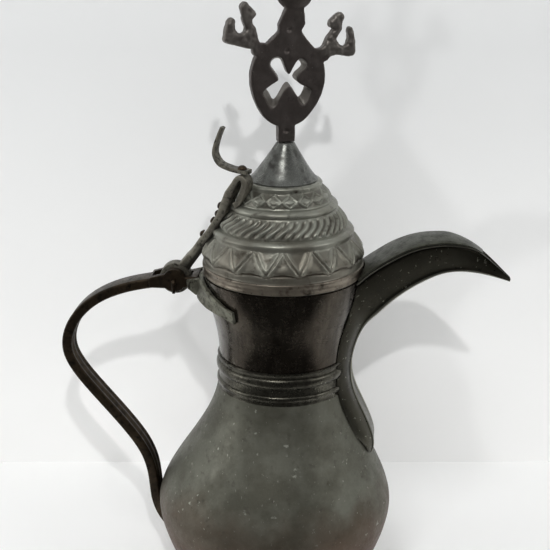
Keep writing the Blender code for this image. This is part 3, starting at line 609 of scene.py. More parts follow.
# Folded spout sheet, darkened by smoke; its relief levels give painted highlights on the bead and hem and a
# painted shadow in the groove.
SMOKED_BRASS = Finish(
    "smoked_spout_brass", "#34322a", "#2d2b24", "#201e19", "#8d8e7f", "#a3a295", metallic=0.90,
    roughness=0.34, relief=True, rub_and_sheen_share=0.62, grime_share=0.60, bloom_share=0.645, fleck_mm=3.2,
    foot_colour="#5c5a50", foot_height_mm=140.0
)
# Cast and forged bars: dark brown with a dull gloss.
CAST_BRASS = Finish(
    "browned_cast_brass", "#3f3529", "#30281f", "#1f1a14", "#635c4f", "#756b5c", metallic=0.84,
    blotch_mm=14.0, bump_mm=0.16
)
# Finial: the same casting, drier and greyer, with dust in its hollows.
FINIAL_BRASS = Finish(
    "dry_cast_brass", "#544e4b", "#4a4441", "#383331", "#66625c", "#9a978f", metallic=0.80, roughness=0.44,
    blotch_mm=14.0, bump_mm=0.16, relief=True, grime_share=0.60
)
# Spout cover: the same sheet, painted paler for the light from above, and dusted grey-green.
COVER_BRASS = Finish(
    "dusted_cover_painted_light_brass", "#4e4f46", "#424339", "#2f2e27", "#74766d", "#85857a", roughness=0.42
)
# Lid band: plain rolled strip, browned by handling.
BAND_BRASS = Finish(
    "rolled_band_brass", "#8c8477", "#6f675c", "#352e27", "#96948a", "#a5a297", metallic=0.82, roughness=0.34
)
# Cone: plain sheet with a soft grey gloss.
CONE_BRASS = Finish(
    "smooth_cone_brass", "#6f706c", "#5d5e5a", "#42413e", "#8d8f88", "#999a93", metallic=0.84, roughness=0.28
)
# The hinge's saddle: the same sheet with a pale green bloom.
SADDLE_BRASS = Finish(
    "bloomed_saddle_brass", "#7d7d70", "#5b5a4f", "#34312a", "#a3a593", "#aeae9f", roughness=0.46,
    blotch_mm=9.0, bump_mm=0.18, bloom_share=0.64
)
# The lid's strap: hammered and rubbed by the thumb, so lighter than the castings; its relief levels paint its
# outer side lit and its inner side shaded.
STRAP_BRASS = Finish(
    "hammered_strap_brass", "#757267", "#56534a", "#2d2a25", "#96917f", "#a39e90", roughness=0.46,
    blotch_mm=9.0, bump_mm=0.18, relief=True
)


class Workshop:
    """Keeps the made materials and hands finished pieces over to the frame."""

    def __init__(self) -> None:
        """Start with no materials made."""
        self.made: dict[str, bpy.types.Material] = {}

    def material(self, finish: Finish) -> bpy.types.Material:
        """Make a finish once and return it after that."""
        if finish.name not in self.made:
            self.made[finish.name] = finish.make()
        return self.made[finish.name]

    def hand_over(self, obj: Piece, finish: Finish, body: Body, slot: Slot, *nodes: str) -> None:
        """Dress a piece, let it ride on its body and put it in place of CAD nodes.

        Args:
            obj: the finished piece.
            finish: its finish.
            body: the body that carries it.
            slot: the record's slot; not used.
            nodes: the CAD nodes that it stands for.
        """
        obj.data.materials.clear()
        obj.data.materials.append(self.material(finish))
        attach(obj, body.value)
        if nodes:
            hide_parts(*nodes)
        log.info("%s: %d faces, rides on %s", obj.name, len(obj.data.polygons), body.value)

    def dress_node(self, node: str, finish: Finish) -> None:
        """Give a CAD node that stays in view its finish."""
        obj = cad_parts[node]
        obj.data.materials.clear()
        obj.data.materials.append(self.material(finish))
        log.info("%s: CAD node kept", node)


# Sizes shared by neighbouring sub-assemblies

GAP = 0.3 * MM
PIN = Vector((-72.0 * MM, 0.0, 233.0 * MM))
BARREL_ROOM = 11.3 * MM
BARREL_HALF = 4.7 * MM
PIN_RADIUS = 1.1 * MM
BORE_HALF = 19.0 * MM
# Hammer dents: how many fit round a radian of the sheet, and how tall they are
DENTS_AROUND = 6.0
DENT_HEIGHT = 11.0 * MM


def bore_through(obj: Piece) -> None:
    """Drill the pin's bore, with a small gap round the pin."""
    half = Vector((0.0, BORE_HALF, 0.0))
    boolean(obj, rod("bore", PIN - half, PIN + half, PIN_RADIUS + GAP), "DIFFERENCE")


@dataclass
class PotBody:
    """The belly, the waist ring and the neck: turned sheet that leans a little towards the handle."""

    shop: Workshop
    base_radius: float = 52.0 * MM
    base_lap: float = 2.0 * MM
    base_thickness: float = 2.2 * MM
    belly_radius: float = 81.4 * MM
    belly_height: float = 72.0 * MM
    lean: float = 5.7 * MM
    waist_radius: float = 43.2 * MM
    waist_height: float = 160.0 * MM
    waist_band: float = 22.6 * MM
    rim_radius: float = 53.0 * MM
    rim_height: float = 238.8 * MM
    wall: float = 1.6 * MM
    lid_room: float = 54.4 * MM
    room_above: float = 0.2
    hole_radius: float = 2.6 * MM
    hole_pitch: float = 8.0 * MM
    hole_drop: float = 26.0 * MM
    hole_start: float = 20.0 * MM
    hole_length: float = 43.0 * MM
    spans: int = 128

    def belly_profile(self) -> list[Pair]:
        """Outline the belly, from the waist down to the foot."""
        wide = (self.belly_radius, self.belly_height)
        waist = (self.waist_radius + 1.4 * MM, self.waist_height)
        waist_lean = (self.waist_radius + 6.8 * MM, self.waist_height - 35 * MM)
        upper = bezier(waist, waist_lean, (wide[0], wide[1] + 23 * MM), wide, 34)
        foot_lean = (self.base_radius + 10 * MM, 16 * MM)
        lower = bezier(wide, (wide[0], wide[1] - 22 * MM), foot_lean, (self.base_radius, 0.0), 28)
        return upper + lower[1:]

    def neck_profile(self) -> list[Pair]:
        """Outline the neck, from the rim down to the waist ring."""
        foot = (self.waist_radius, self.waist_height + self.waist_band + GAP)
        rim = (self.rim_radius, self.rim_height)
        return bezier(rim, (rim[0] - 2.5 * MM, rim[1] - 23.8 * MM), (foot[0], foot[1] + 22 * MM), foot, 26)

    def shift(self, height: float) -> float:
        """Say how far the body leans towards the handle at a height."""
        return self.lean * ease((self.waist_height - height) / (self.waist_height - self.belly_height))

    def outside_x(self, height: float, side: int) -> float:
        """Find X on the pot's outside, on the spout's side (+1) or the handle's (-1)."""
        if height > self.waist_height + self.waist_band:
            radius = radius_at(self.neck_profile(), height)
        else:
            radius = radius_at(self.belly_profile(), min(height, self.waist_height))
        return side * radius - self.shift(height)

    def lean_over(self, obj: Piece) -> None:
        """Shift a turned piece below the waist towards the handle."""
        for point in obj.data.vertices:
            point.co.x -= self.shift(point.co.z)

    def envelope(self) -> Piece:
        """Make the tool that trims what sits on the pot.

        Returns:
            The pot's outside plus a small gap, with room for the lid above it.
        """
        top = self.rim_height + self.room_above
        loop = [(0.0, top), (self.lid_room, top), (self.lid_room, self.rim_height + GAP)]
        loop += [(r + GAP, z) for r, z in self.neck_profile() + self.waist_loop()[:-2]]
        loop += [(r + GAP * 1.2, z) for r, z in self.belly_profile()]
        loop += [(0.0, 0.0)]
        tool = lathe("pot_envelope", loop, self.spans)
        self.lean_over(tool)
        return tool

    def dent(self, obj: Piece, depth: float, seed: float) -> None:
        """Give raised sheet its faint hammer dents and long waves, inwards only."""
        for point in obj.data.vertices:
            radial = Vector((point.co.x, point.co.y, 0.0))
            if radial.length < 1e-5:
                continue
            way = radial.normalized()
            spot = Vector((way.x * DENTS_AROUND, way.y * DENTS_AROUND, point.co.z / DENT_HEIGHT + seed))
            wave = noise.noise(spot) * 0.6 + noise.noise(spot * 0.4)
            point.co -= way * depth * (0.5 + 0.5 * wave)

    def build_belly(self, seat: float, joint: float) -> None:
        """Build and dress the belly.

        Args:
            seat: radius of the joint with the neck.
            joint: height of that joint.
        """
        base_seat = self.base_radius - self.base_lap
        belly = self.belly_profile()
        inside = [p for p in offset_inward(belly, self.wall) if p[1] > self.base_thickness + 1.0 * MM]
        loop = [(seat, joint - GAP / 2), (seat, self.waist_height - GAP)] + belly
        loop += [(base_seat, 0.0), (base_seat, self.base_thickness)] + inside[::-1]
        loop += [(seat - self.wall, self.waist_height - GAP), (seat - self.wall, joint - GAP / 2)]
        shell = lathe("belly", loop, self.spans)
        self.lean_over(shell)
        self.dent(shell, 0.30 * MM, 2.0)
        shade(shell, 50)
        self.shop.hand_over(shell, RAISED_BRASS, Body.POT, Slot.BODY, "belly_shell")

    def build_neck(self, seat: float, joint: float) -> None:
        """Build and dress the neck, with its pour holes behind the spout.

        Args:
            seat: radius of the joint with the belly.
            joint: height of that joint.
        """
        neck = self.neck_profile()
        inner = offset_inward(neck, self.wall)[::-1]
        rim = drawn_from(*neck[0])
        loop = [rim(-0.5, 0.0), rim(-0.1, -0.3)] + neck[1:]
        loop += [(seat, joint + GAP / 2), (seat - self.wall, joint + GAP / 2)]
        loop += inner[:-1] + [(self.rim_radius - self.wall, self.rim_height)]
        collar = lathe("neck", loop, self.spans)
        self.dent(collar, 0.22 * MM, 7.0)
        for row, columns in ((-1, (-0.5, 0.5)), (0, (-1.0, 0.0, 1.0)), (1, (-0.5, 0.5))):
            height = self.rim_height - self.hole_drop + row * self.hole_pitch * 0.87
            for column in columns:
                start = Vector((self.hole_start, column * self.hole_pitch, height))
                end = start + Vector((self.hole_length, 0, 0))
                boolean(collar, rod("hole", start, end, self.hole_radius), "DIFFERENCE")
        shade(collar, 45)
        self.shop.hand_over(collar, NECK_BRASS, Body.POT, Slot.BODY, "neck_collar")

    def build(self) -> None:
        """Build and dress the pot's body."""
        seat = self.waist_radius - 0.5 * MM
        joint = self.waist_height + self.waist_band / 2
        self.build_belly(seat, joint)
        self.build_neck(seat, joint)
        ring = lathe("waist_moulding", self.waist_loop(), self.spans)
        self.dent(ring, 0.10 * MM, 4.0)
        shade(ring, 45)
        self.shop.hand_over(ring, RING_BRASS, Body.POT, Slot.BODY, "waist_ring")
        self.shop.dress_node("base_plate", RAISED_BRASS)

    def waist_loop(self) -> list[Pair]:
        """Outline the moulded band: a thin lip, a broad bead, a hollow and a small bead."""
        r, z, band = self.waist_radius, self.waist_height, self.waist_band
        spot = drawn_from(r, z)
        loop = [(r + 1.0 * MM, z + band), spot(1.2, 21.9), spot(0.3, 20.6)]
        loop += bezier(spot(0.3, 18.6), spot(2.6, 18.2), spot(2.6, 12.6), spot(0.3, 11.6), 14)
        loop += [spot(0.2, 9.8), spot(0.3, 7.4)]
        loop += bezier(spot(0.4, 6.6), spot(2.2, 6.4), spot(2.2, 3.0), spot(0.8, 2.6), 10)
        return loop + [spot(0.6, 1.6), spot(1.2, 0.0), (r, z), (r, z + band)]


# Tongue of the spout, as (share of its height, stand in keel stands, share of the spout's half width)
TONGUE = (
    (0.000, 0.05, 0.60), (0.035, 0.75, 0.70), (0.082, 1.35, 0.86), (0.182, 1.70, 1.02),
    (0.323, 0.85, 1.14), (0.408, 0.50, 1.16), (0.492, 0.45, 1.12), (0.577, 0.85, 1.06),
)
# Keel of the spout, as (share of the reach beyond the rim, height above the rim in spout rises)
KEEL = (
    (0.000, -1.480), (0.070, -1.230), (0.145, -0.910), (0.220, -0.630), (0.310, -0.350),
    (0.412, -0.110), (0.510, 0.060), (0.620, 0.175), (0.800, 0.130), (1.000, -0.110),
)
# Upper edges of the spout: the same two shares, then the share of the half width
EDGE = (
    (-0.098, -0.806, 1.000), (-0.083, -0.202, 0.970), (-0.010, 0.081, 0.900), (0.073, 0.335, 0.830),
    (0.197, 0.645, 0.810), (0.321, 0.867, 0.710), (0.446, 0.980, 0.617), (0.600, 0.992, 0.490),
    (0.780, 0.758, 0.190), (1.002, -0.016, 0.0),
)

# Places across one side of the spout, from the upper edge (0) to the keel (1), closer where its beads lie
SIDE_PLACES = (
    0.0, 0.010, 0.025, 0.045, 0.065, 0.080, 0.090, 0.105, 0.125, 0.16,
    0.25, 0.40, 0.55, 0.70, 0.82, 0.89, 0.925, 0.95, 0.975, 1.0,
)
# Painted light across that side, as (up to which place, relief level): a painted highlight on the upper bead,
# a painted shadow in the groove below the cover's lip and a painted highlight on the hem
SIDE_PAINTED_LIGHT = ((0.05, 0.70), (0.11, 0.10), (0.921, 0.5), (0.99, 1.0), (1.1, 0.5))


@dataclass
class Spout:
    """The folded trough with its edge beads, and the cover plate on it."""

    shop: Workshop
    pot: PotBody
    sheet: float = 1.5 * MM
    width: float = 42.0 * MM
    tip_width: float = 3.6 * MM
    keel_width: float = 12.6 * MM
    keel_stand: float = 4.8 * MM
    length: float = 149.5 * MM
    rise: float = 24.8 * MM
    tongue_length: float = 48.0 * MM
    roof_length: float = 132.0 * MM
    roof_crown: float = 1.2 * MM
    roof_lip: float = 0.8 * MM
    fineness: int = 8

    def stations(self) -> tuple[list[Vector], list[Vector]]:
        """Lay out the spout.

        Returns:
            Keel and edge points as (x, z, half width), from the tongue on the belly to the tip.
        """
        pot = self.pot
        keel_half, edge_half, tip = self.keel_width / 2, self.width / 2, self.tip_width / 2
        low = pot.waist_height - self.tongue_length
        height = pot.rim_height - low
        keel, edge = [], []
        for share, stand, spread in TONGUE:
            z = low + share * height
            keel.append((pot.outside_x(z, 1) + stand * self.keel_stand, z, keel_half * (1.25 - 0.4 * share)))
            z_edge = z + (0.08 + 0.42 * share) * self.tongue_length
            half = edge_half * spread
            reach = pot.outside_x(z_edge, 1)
            edge.append((math.sqrt(reach**2 - half**2) - self.sheet, z_edge, half))
        reach = self.length - pot.rim_radius
        for along, lift in KEEL:
            half = tip / 3 + (keel_half - tip / 3) * min(1.0, 1.6 * (1 - along))
            keel.append((pot.rim_radius + along * reach, pot.rim_height + lift * self.rise, half))
        for along, lift, spread in EDGE:
            half = tip + (edge_half - tip) * spread
            edge.append((pot.rim_radius + along * reach, pot.rim_height + lift * self.rise, half))
        return relax(smooth_path(keel, self.fineness), 70), smooth_path(edge, self.fineness)

    def side_shape(self, share: float, height: float) -> float:
        """Shape one point of the side.

        Args:
            share: how far it lies from the upper edge (0) to the keel (1).
            height: its place on the keel, which is plump where the trough lies on the pot.

        Returns:
            How far it stands out, in metres.
        """
        bead = 0.55 * ridge(share - 0.020, 0.030)
        groove = -0.55 * ridge(share - 0.090, 0.020)
        hem = 1.15 * ridge(share - 0.945, 0.042)
        plump = 1.0 - ease((height - self.pot.waist_height - self.pot.waist_band) / (40 * MM))
        swell = (0.55 + 2.1 * plump) * math.sin(math.pi * share)
        return (bead + groove + hem + swell) * MM

    def paint_edge_light(self, obj: Piece, sections: Sequence[Sequence[Vector]]) -> None:
        """Keep, as the relief attribute, painted highlights on the sheet's upper bead and hem and a painted
        shadow in its groove below the cover's lip.
        """
        levels = {}
        for section in sections:
            for k, share in enumerate(SIDE_PLACES):
                level = next(level for end, level in SIDE_PAINTED_LIGHT if share < end)
                for place in (k, 2 * len(SIDE_PLACES) - 1 - k):
                    levels[section[place].to_tuple(5)] = level
        keep_relief(obj, [levels.get(point.co.to_tuple(5), 0.5) for point in obj.data.vertices])

    def section(self, k: Vector, e: Vector, travel: Vector) -> list[Vector]:
        """Draw one closed section of the folded sheet.

        Args:
            k: the keel's station.
            e: the upper edge's station.
            travel: the keel's run at that station.

        Returns:
            The near and the far side's outside, then the far and the near side's inside.
        """
        near_edge, near_keel = Vector((e[0], -e[2], e[1])), Vector((k[0], -k[2], k[1]))
        out = travel.cross(near_keel - near_edge).normalized()
        out = -out if out.y > 0 else out
        fade = min(1.0, (near_keel - near_edge).length / (12 * MM))
        wall = min(self.sheet, 0.4 * k[2], 0.4 * e[2])
        outer = [near_edge.lerp(near_keel, q) + out * self.side_shape(q, k[1]) * fade for q in SIDE_PLACES]
        outer = [Vector((p.x, min(p.y, -0.15 * MM), p.z)) for p in outer]
        inner = [Vector((p.x, min(p.y + wall, -0.05 * MM), p.z)) for p in outer]
        up = Vector((-travel.z, 0.0, travel.x)).normalized() * wall
        inner = [p + up * ease((q - 0.7) / 0.3) for p, q in zip(inner, SIDE_PLACES)]
        return outer + flipped(outer)[::-1] + flipped(inner) + inner[::-1]

    def build_trough(self, keel: Sequence[Vector], edge: Sequence[Vector]) -> None:
        """Build and dress the folded trough."""
        sections = []
        for i, (k, e) in enumerate(zip(keel, edge)):
            before, after = keel[max(i - 1, 0)], keel[min(i + 1, len(keel) - 1)]
            travel = Vector((after[0] - before[0], 0.0, after[1] - before[1]))
            sections.append(self.section(k, e, travel))
        trough = loft("spout", sections)
        boolean(trough, self.pot.envelope(), "DIFFERENCE")
        self.paint_edge_light(trough, sections)
        shade(trough, 38)
        self.shop.hand_over(trough, SMOKED_BRASS, Body.POT, Slot.SPOUT, "spout_trough")

    def build_cover(self, edge: Sequence[Vector]) -> None:
        """Build and dress the cover plate, which has a drawn border and dropped edges."""
        across = [-1.0 + i / 8 for i in range(17)]
        rows = []
        for x, z, half in edge:
            if z <= self.pot.rim_height or x >= self.roof_length:
                continue
            thin = 0.08 + 0.92 * ease((self.roof_length - x) / (26 * MM))
            reach = half + self.roof_lip * (1.2 * thin - 0.2)
            seat = z + GAP * 1.5
            low = [Vector((x, s * reach, seat + self.roof_crown * thin * (1 - s * s))) for s in across]
            high = []
            for s, p in zip(across, low):
                border = 0.25 * MM * ridge(abs(s) - 0.80, 0.05)
                drop = 0.55 * MM * ease((abs(s) - 0.92) / 0.08)
                high.append(p + Vector((0.0, 0.0, (self.sheet - border - drop) * thin)))
            rows.append(low + high[::-1])
        roof = loft("spout_cover", rows)
        boolean(roof, self.pot.envelope(), "DIFFERENCE")
        shade(roof, 38)
        self.shop.hand_over(roof, COVER_BRASS, Body.POT, Slot.SPOUT, "spout_roof")

    def build(self) -> None:
        """Build the trough and its cover."""
        keel, edge = self.stations()
        self.build_trough(keel, edge)
        self.build_cover(edge)


# The hinge saddle's section, as (share of its half width, share of its depth)
SADDLE_SECTION = (
    (-1, 0.0), (-1, 0.70), (-0.84, 1.0), (-0.2, 0.90), (0.2, 0.90), (0.84, 1.0), (1, 0.70), (1, 0.0),
)
# The pin's head, as (stand beyond the fork in millimetres, size in pin radii)
PIN_HEAD = ((2.4, 0.9), (2.0, 1.7), (1.2, 2.1), (0.8, 2.1), (0.7, 1.0))
# The pin's bent tail, as (stand beyond the fork and drop in millimetres, size in pin radii)
PIN_TAIL = ((0.8, 0.0, 1.1), (1.6, 0.25, 1.45), (2.2, 0.8, 1.5), (2.5, 1.8, 1.3), (2.6, 4.5, 1.1))


@dataclass
class Handle:
    """The forged bar with its fork, the saddle that carries it and the bent pin."""

    shop: Workshop
    pot: PotBody
    thickness: float = 6.8 * MM
    width: float = 16.0 * MM
    corner: float = 1.5 * MM
    flute: float = 0.9 * MM
    taper_run: int = 16
    reach: float = 147.4 * MM
    foot: float = 46.0 * MM
    fork_width: float = 19.0 * MM
    lug_radius: float = 7.8 * MM
    slot_back: float = 4.2 * MM
    bracket_width: float = 9.0 * MM
    bracket_thickness: float = 2.6 * MM
    bracket_span: float = math.radians(57.0)
    bracket_fall: float = 12.5 * MM
    pin_tail: float = 8.0 * MM

    def centre_line(self) -> list[Pair]:
        """Trace the bar's centre line, from the fork down to its foot."""
        touch = self.thickness / 2
        foot = self.pot.outside_x(self.foot, -1)
        tall = self.pot.belly_height
        wide = self.pot.outside_x(tall, -1) - touch
        out = -self.reach
        pin, bend, low = drawn_from(PIN.x, PIN.z), drawn_from(out, PIN.z), drawn_from(wide, tall)
        return [
            pin(-6, -1.5),
            pin(-28, -5),
            pin(-50, -12.5),
            bend(11.5, -24),
            bend(3.5, -35),
            bend(0, -46),
            bend(0.8, -57),
            bend(6.5, -71),
            bend(28.5, -95.5),
            ((out + wide) / 2 + 8.5 * MM, tall + 52 * MM),
            low(-5.5, 34),
            low(-0.8, 16),
            low(-0.4, -4),
            ((wide + foot) / 2 - 0.8 * MM, (tall + self.foot) / 2 - 4 * MM),
            (foot - 1.0 * MM, self.foot),
        ]

    def fork(self) -> Piece:
        """Make the plate that the fork's two lugs are cut from."""
        seat = radius_at(self.pot.neck_profile(), PIN.z + self.bracket_width / 2)
        saddle = -(seat + self.bracket_thickness + 2.5 * GAP)
        lug = self.lug_radius
        arm = [
            (PIN.x - lug * 2.2, PIN.z + 1.2 * MM),
            (PIN.x, PIN.z + lug * 0.75),
            (PIN.x + lug, PIN.z + 2.4 * MM),
            (saddle, PIN.z + 2.8 * MM),
            (saddle, PIN.z - 5.0 * MM),
            (PIN.x + lug, PIN.z - 4.6 * MM),
            (PIN.x, PIN.z - lug * 0.75),
            (PIN.x - lug * 2.2, PIN.z - 5.6 * MM),
        ]
        return plate("fork", arm, self.fork_width, 0.9 * MM)

    def build_bar(self) -> None:
        """Build and dress the bar with its fork."""
        path = relax(smooth_path(self.centre_line(), 8), 90)
        last = len(path) - 1
        sections = []
        for i, point in enumerate(path):
            along = heading(path, i)
            out = Vector((along[1], -along[0]))
            taper = 1.0 if i < last - self.taper_run else 0.25 + 0.75 * (last - i) / self.taper_run
            broad = self.width * (0.72 + 0.28 * taper)
            shape = bar_section(broad, self.thickness * taper, self.corner * taper, self.flute * taper)
            sections.append([Vector((point[0] + o * out[0], a, point[1] + o * out[1])) for a, o in shape])
        bar = loft("handle_bar", sections)
        fork = self.fork()
        half = Vector((0.0, self.fork_width / 2 + 0.15 * MM, 0.0))
        eye = rod("eye", PIN - half, PIN + half, self.lug_radius, 40)
        round_edges(eye, 0.7 * MM)
        boolean(bar, fork, "UNION")
        boolean(bar, eye, "UNION")
        room = Vector((BARREL_ROOM, BARREL_HALF + GAP, 30 * MM))
        back, front = PIN.x - room.x - self.slot_back, PIN.x + room.x
        low, high = PIN.z - room.z, PIN.z + room.z
        slot = plate("slot", [(back, low), (front, low), (front, high), (back, high)], 2 * room.y)
        boolean(bar, slot, "DIFFERENCE")
        bore_through(bar)
        boolean(bar, self.pot.envelope(), "DIFFERENCE")
        shade(bar, 35)
        self.shop.hand_over(bar, CAST_BRASS, Body.POT, Slot.CAST, "handle")

    def build_saddle(self) -> None:
        """Build and dress the two-legged saddle on the neck."""
        neck = self.pot.neck_profile()
        sections = []
        count = 48
        for i in range(count + 1):
            turn = -1.0 + 2.0 * i / count
            around = math.pi + turn * self.bracket_span
            middle = PIN.z - GAP - self.bracket_fall * abs(turn) ** 1.15
            away = abs(turn)
            broad = 1.0 + 0.50 * ease((away - 0.12) / 0.16) - 0.55 * ease((away - 0.34) / 0.66)
            stand = 4.4 * MM * ease((away - 0.165) / 0.06) * (1.0 - ease((away - 0.26) / 0.66))
            ring = []
            for side, out in SADDLE_SECTION:
                z = middle + side * broad * self.bracket_width / 2
                depth = self.bracket_thickness + stand * (0.55 - 0.45 * side)
                r = radius_at(neck, z) + 1.5 * GAP + out * depth
                ring.append(Vector((r * math.cos(around), r * math.sin(around), z)))
            sections.append(ring)
        saddle = loft("handle_saddle", sections)
        pin, axis = drawn_from(PIN.x, PIN.z), drawn_from(0.0, PIN.z)
        root = [pin(8.6, 1.4), axis(-54.5, 3.4), axis(-53.0, -7.0), axis(-57.0, -9.0), pin(9.4, -4.4)]
        for side in (-1, 1):
            cheek = plate("cheek", root, 2.6 * MM, 0.7 * MM)
            cheek.data.transform(Matrix.Translation((0.0, side * (self.fork_width / 2 + 1.6 * MM), 0.0)))
            boolean(saddle, cheek, "UNION")
        boolean(saddle, self.pot.envelope(), "DIFFERENCE")
        weather(saddle, 0.3 * MM, 7 * MM, 4.0)
        shade(saddle, 30)
        self.shop.hand_over(saddle, SADDLE_BRASS, Body.POT, Slot.BODY, "hinge_bracket")

    def build_pin(self) -> None:
        """Build and dress the pin, with a domed head and a bent tail."""
        reach = self.fork_width / 2
        route = [(reach + y * MM, 0.0, size) for y, size in PIN_HEAD] + [(0.0, 0.0, 1.0)]
        route += [(-reach - y * MM, -z * MM, size) for y, z, size in PIN_TAIL]
        route += [(-reach - PIN_TAIL[-1][0] * MM, -self.pin_tail, 0.9)]
        sections = []
        for i, (y, z, size) in enumerate(route):
            before, after = route[max(i - 1, 0)], route[min(i + 1, len(route) - 1)]
            along = Vector((0.0, after[0] - before[0], after[1] - before[1])).normalized()
            side = along.cross(Vector((1.0, 0.0, 0.0)))
            ring = []
            for k in range(16):
                angle = TURN * k / 16
                offset = Vector((1.0, 0.0, 0.0)) * math.cos(angle) + side * math.sin(angle)
                ring.append(PIN + Vector((0.0, y, z)) + offset * PIN_RADIUS * size)
            sections.append(ring)
        pin = loft("hinge_nail", sections)
        shade(pin, 40)
        self.shop.hand_over(pin, CAST_BRASS, Body.POT, Slot.CAST, "hinge_pin")

    def build(self) -> None:
        """Build all of the handle's pieces."""
        self.build_bar()
        self.build_saddle()
        self.build_pin()


# The lid's patterns: radii and heights of their tiers in millimetres, swing in tier heights, start in radians
CHEVRON_RADIUS = 52.5
LATTICE_RADIUS = 29.0
LATTICE_TALL = 11.5
LATTICE_SWING = 0.36
PATTERN_START = 0.12
# How far the patterns are sunk, in millimetres, and their uneven wear, as shares of their height
PATTERN_SUNK = 0.55
LEAST_HEIGHT = 0.70
WEAR_SIZE = 22.0 * MM


@dataclass
class Lid:
    """The embossed dome in three tiers, its rim band and the cone on top."""

    shop: Workshop
    pot: PotBody
    radius: float = 53.6 * MM
    wall: float = 1.4 * MM
    band_height: float = 7.8 * MM
    ring_size: float = 4.2 * MM
    top_ring_size: float = 2.4 * MM
    top_flange: float = 6.0 * MM
    low_ring: Pair = (46.4 * MM, 28.6 * MM)
    mid_ring: Pair = (35.6 * MM, 45.8 * MM)
    top_ring: Pair = (25.4 * MM, 60.8 * MM)
    cone_radius: float = 22.6 * MM
    cone_height: float = 24.7 * MM
    cone_tip: float = 5.9 * MM
    cone_lean: float = 1.4 * MM
    chevrons: int = 16
    gadroons: int = 42
    waves: int = 9
    spans: int = 448

    @property
    def base(self) -> float:
        """Height of the lid's foot."""
        return self.pot.rim_height + GAP

    @property
    def cone_base(self) -> float:
        """Height of the cone's foot."""
        return self.pot.rim_height + self.top_ring[1] + self.top_ring_size

    @property
    def cone_top(self) -> float:
        """Height of the cone's tip."""
        return self.cone_base + self.cone_height

    def tier(self, low: Pair, high: Pair, swell: float, steps: int) -> list[Pair]:
        """Outline one bulging tier, from its top edge down to its foot."""
        rise = high[1] - low[1]
        lean_high = (high[0] + swell * 2.2, high[1] - rise * 0.25)
        return bezier(high, lean_high, (low[0] + swell, low[1] + rise * 0.45), low, steps)

    def bead(self, radius: float, height: float, size: float) -> list[Pair]:
        """Outline one half-round ring, from its top edge down to its foot."""
        top, lean_top = (radius - size * 0.9, height + size), (radius - size * 0.4, height + size)
        return bezier(top, lean_top, (radius + size * 0.3, height + size * 0.5), (radius, height), 7)

    def tiers(self) -> list[tuple[Pair, Pair, float, int]]:
        """List the tiers from the lowest up, each as (foot, top, swell, steps)."""
        rim, size, step = self.pot.rim_height, self.ring_size, 0.5 * MM
        shoulder = self.base + self.band_height + GAP
        feet = [(self.radius - 0.6 * MM, shoulder)]
        feet += [(r - size * 0.9, rim + z + size + step) for r, z in (self.low_ring, self.mid_ring)]
        tops = [(r, rim + z - step) for r, z in (self.low_ring, self.mid_ring, self.top_ring)]
        return list(zip(feet, tops, (1.6 * MM, 0.8 * MM, 0.7 * MM), (30, 20, 18)))

    def outside(self) -> list[Pair]:
        """Outline the dome's outside, from its top edge down to its foot."""
        rim = self.pot.rim_height
        points = [(self.top_ring[0] - self.top_flange, self.cone_base)]
        rings = (self.top_ring, self.mid_ring, self.low_ring)
        sizes = (self.top_ring_size, self.ring_size, self.ring_size)
        for ring, size, parts in zip(rings, sizes, self.tiers()[::-1]):
            points += self.bead(ring[0], rim + ring[1], size)
            points += self.tier(*parts)
        skirt = self.radius - self.wall - GAP
        return points + [(skirt, self.base + self.band_height + GAP), (skirt, self.base)]

    def inside(self) -> list[Pair]:
        """Outline the dome's inside, from its foot up to its top edge."""
        rim, wall, size = self.pot.rim_height, self.wall, self.ring_size
        skirt = self.radius - 2 * wall - GAP
        points = [(skirt, self.base), (skirt, self.base + self.band_height + 6 * MM)]
        for radius, height in (self.low_ring, self.mid_ring):
            points.append((radius - 2.2 * wall, rim + height - wall))
            points.append((radius - size - 1.6 * wall, rim + height + size - 1.6 * wall))
        points.append((self.top_ring[0] - 2.2 * wall, rim + self.top_ring[1] - wall))
        points.append((self.top_ring[0] - self.top_flange, self.cone_base - wall))
        return points

    def chevron(self, around: float, t: float) -> float:
        """Height of the lowest tier's pattern: a row of doubled Vs over a scalloped edge, in millimetres."""
        share = around * self.chevrons / TURN
        off = abs(share - round(share))
        pitch = TURN * CHEVRON_RADIUS / self.chevrons
        arm = 0.43 * (t - 0.28) / 0.66
        d = (off - arm) * pitch * 0.85
        window = ease((t - 0.22) / 0.06) * ease((0.97 - t) / 0.05)
        strokes = (ridge(d - 1.25, 0.62) + ridge(d + 1.25, 0.62)) * 0.80 - ridge(d, 0.55) * 0.60
        hollow = -0.35 * ease((abs(d) - 2.4) / 1.6)
        scallop = 0.25 + 0.10 * math.sin(math.pi * off)
        lobe = 0.75 * ease((t - scallop + 0.035) / 0.05) * ease((0.80 - t) / 0.45)
        edge = -0.65 * ridge(t - scallop + 0.035, 0.030)
        return (strokes + hollow) * window + lobe + edge

    def gadroon(self, around: float, t: float) -> float:
        """Height of the middle tier's pattern: a rope of slanting lobes, in millimetres."""
        slant = 1.55 * (t - 0.5) + 0.22 * math.sin(TURN * (t - 0.5))
        lobe = 0.5 + 0.5 * math.cos(TURN * (around * self.gadroons / TURN - slant))
        return (1.45 * lobe**1.5 - 0.65) * ease((t - 0.06) / 0.12) * ease((0.95 - t) / 0.12)

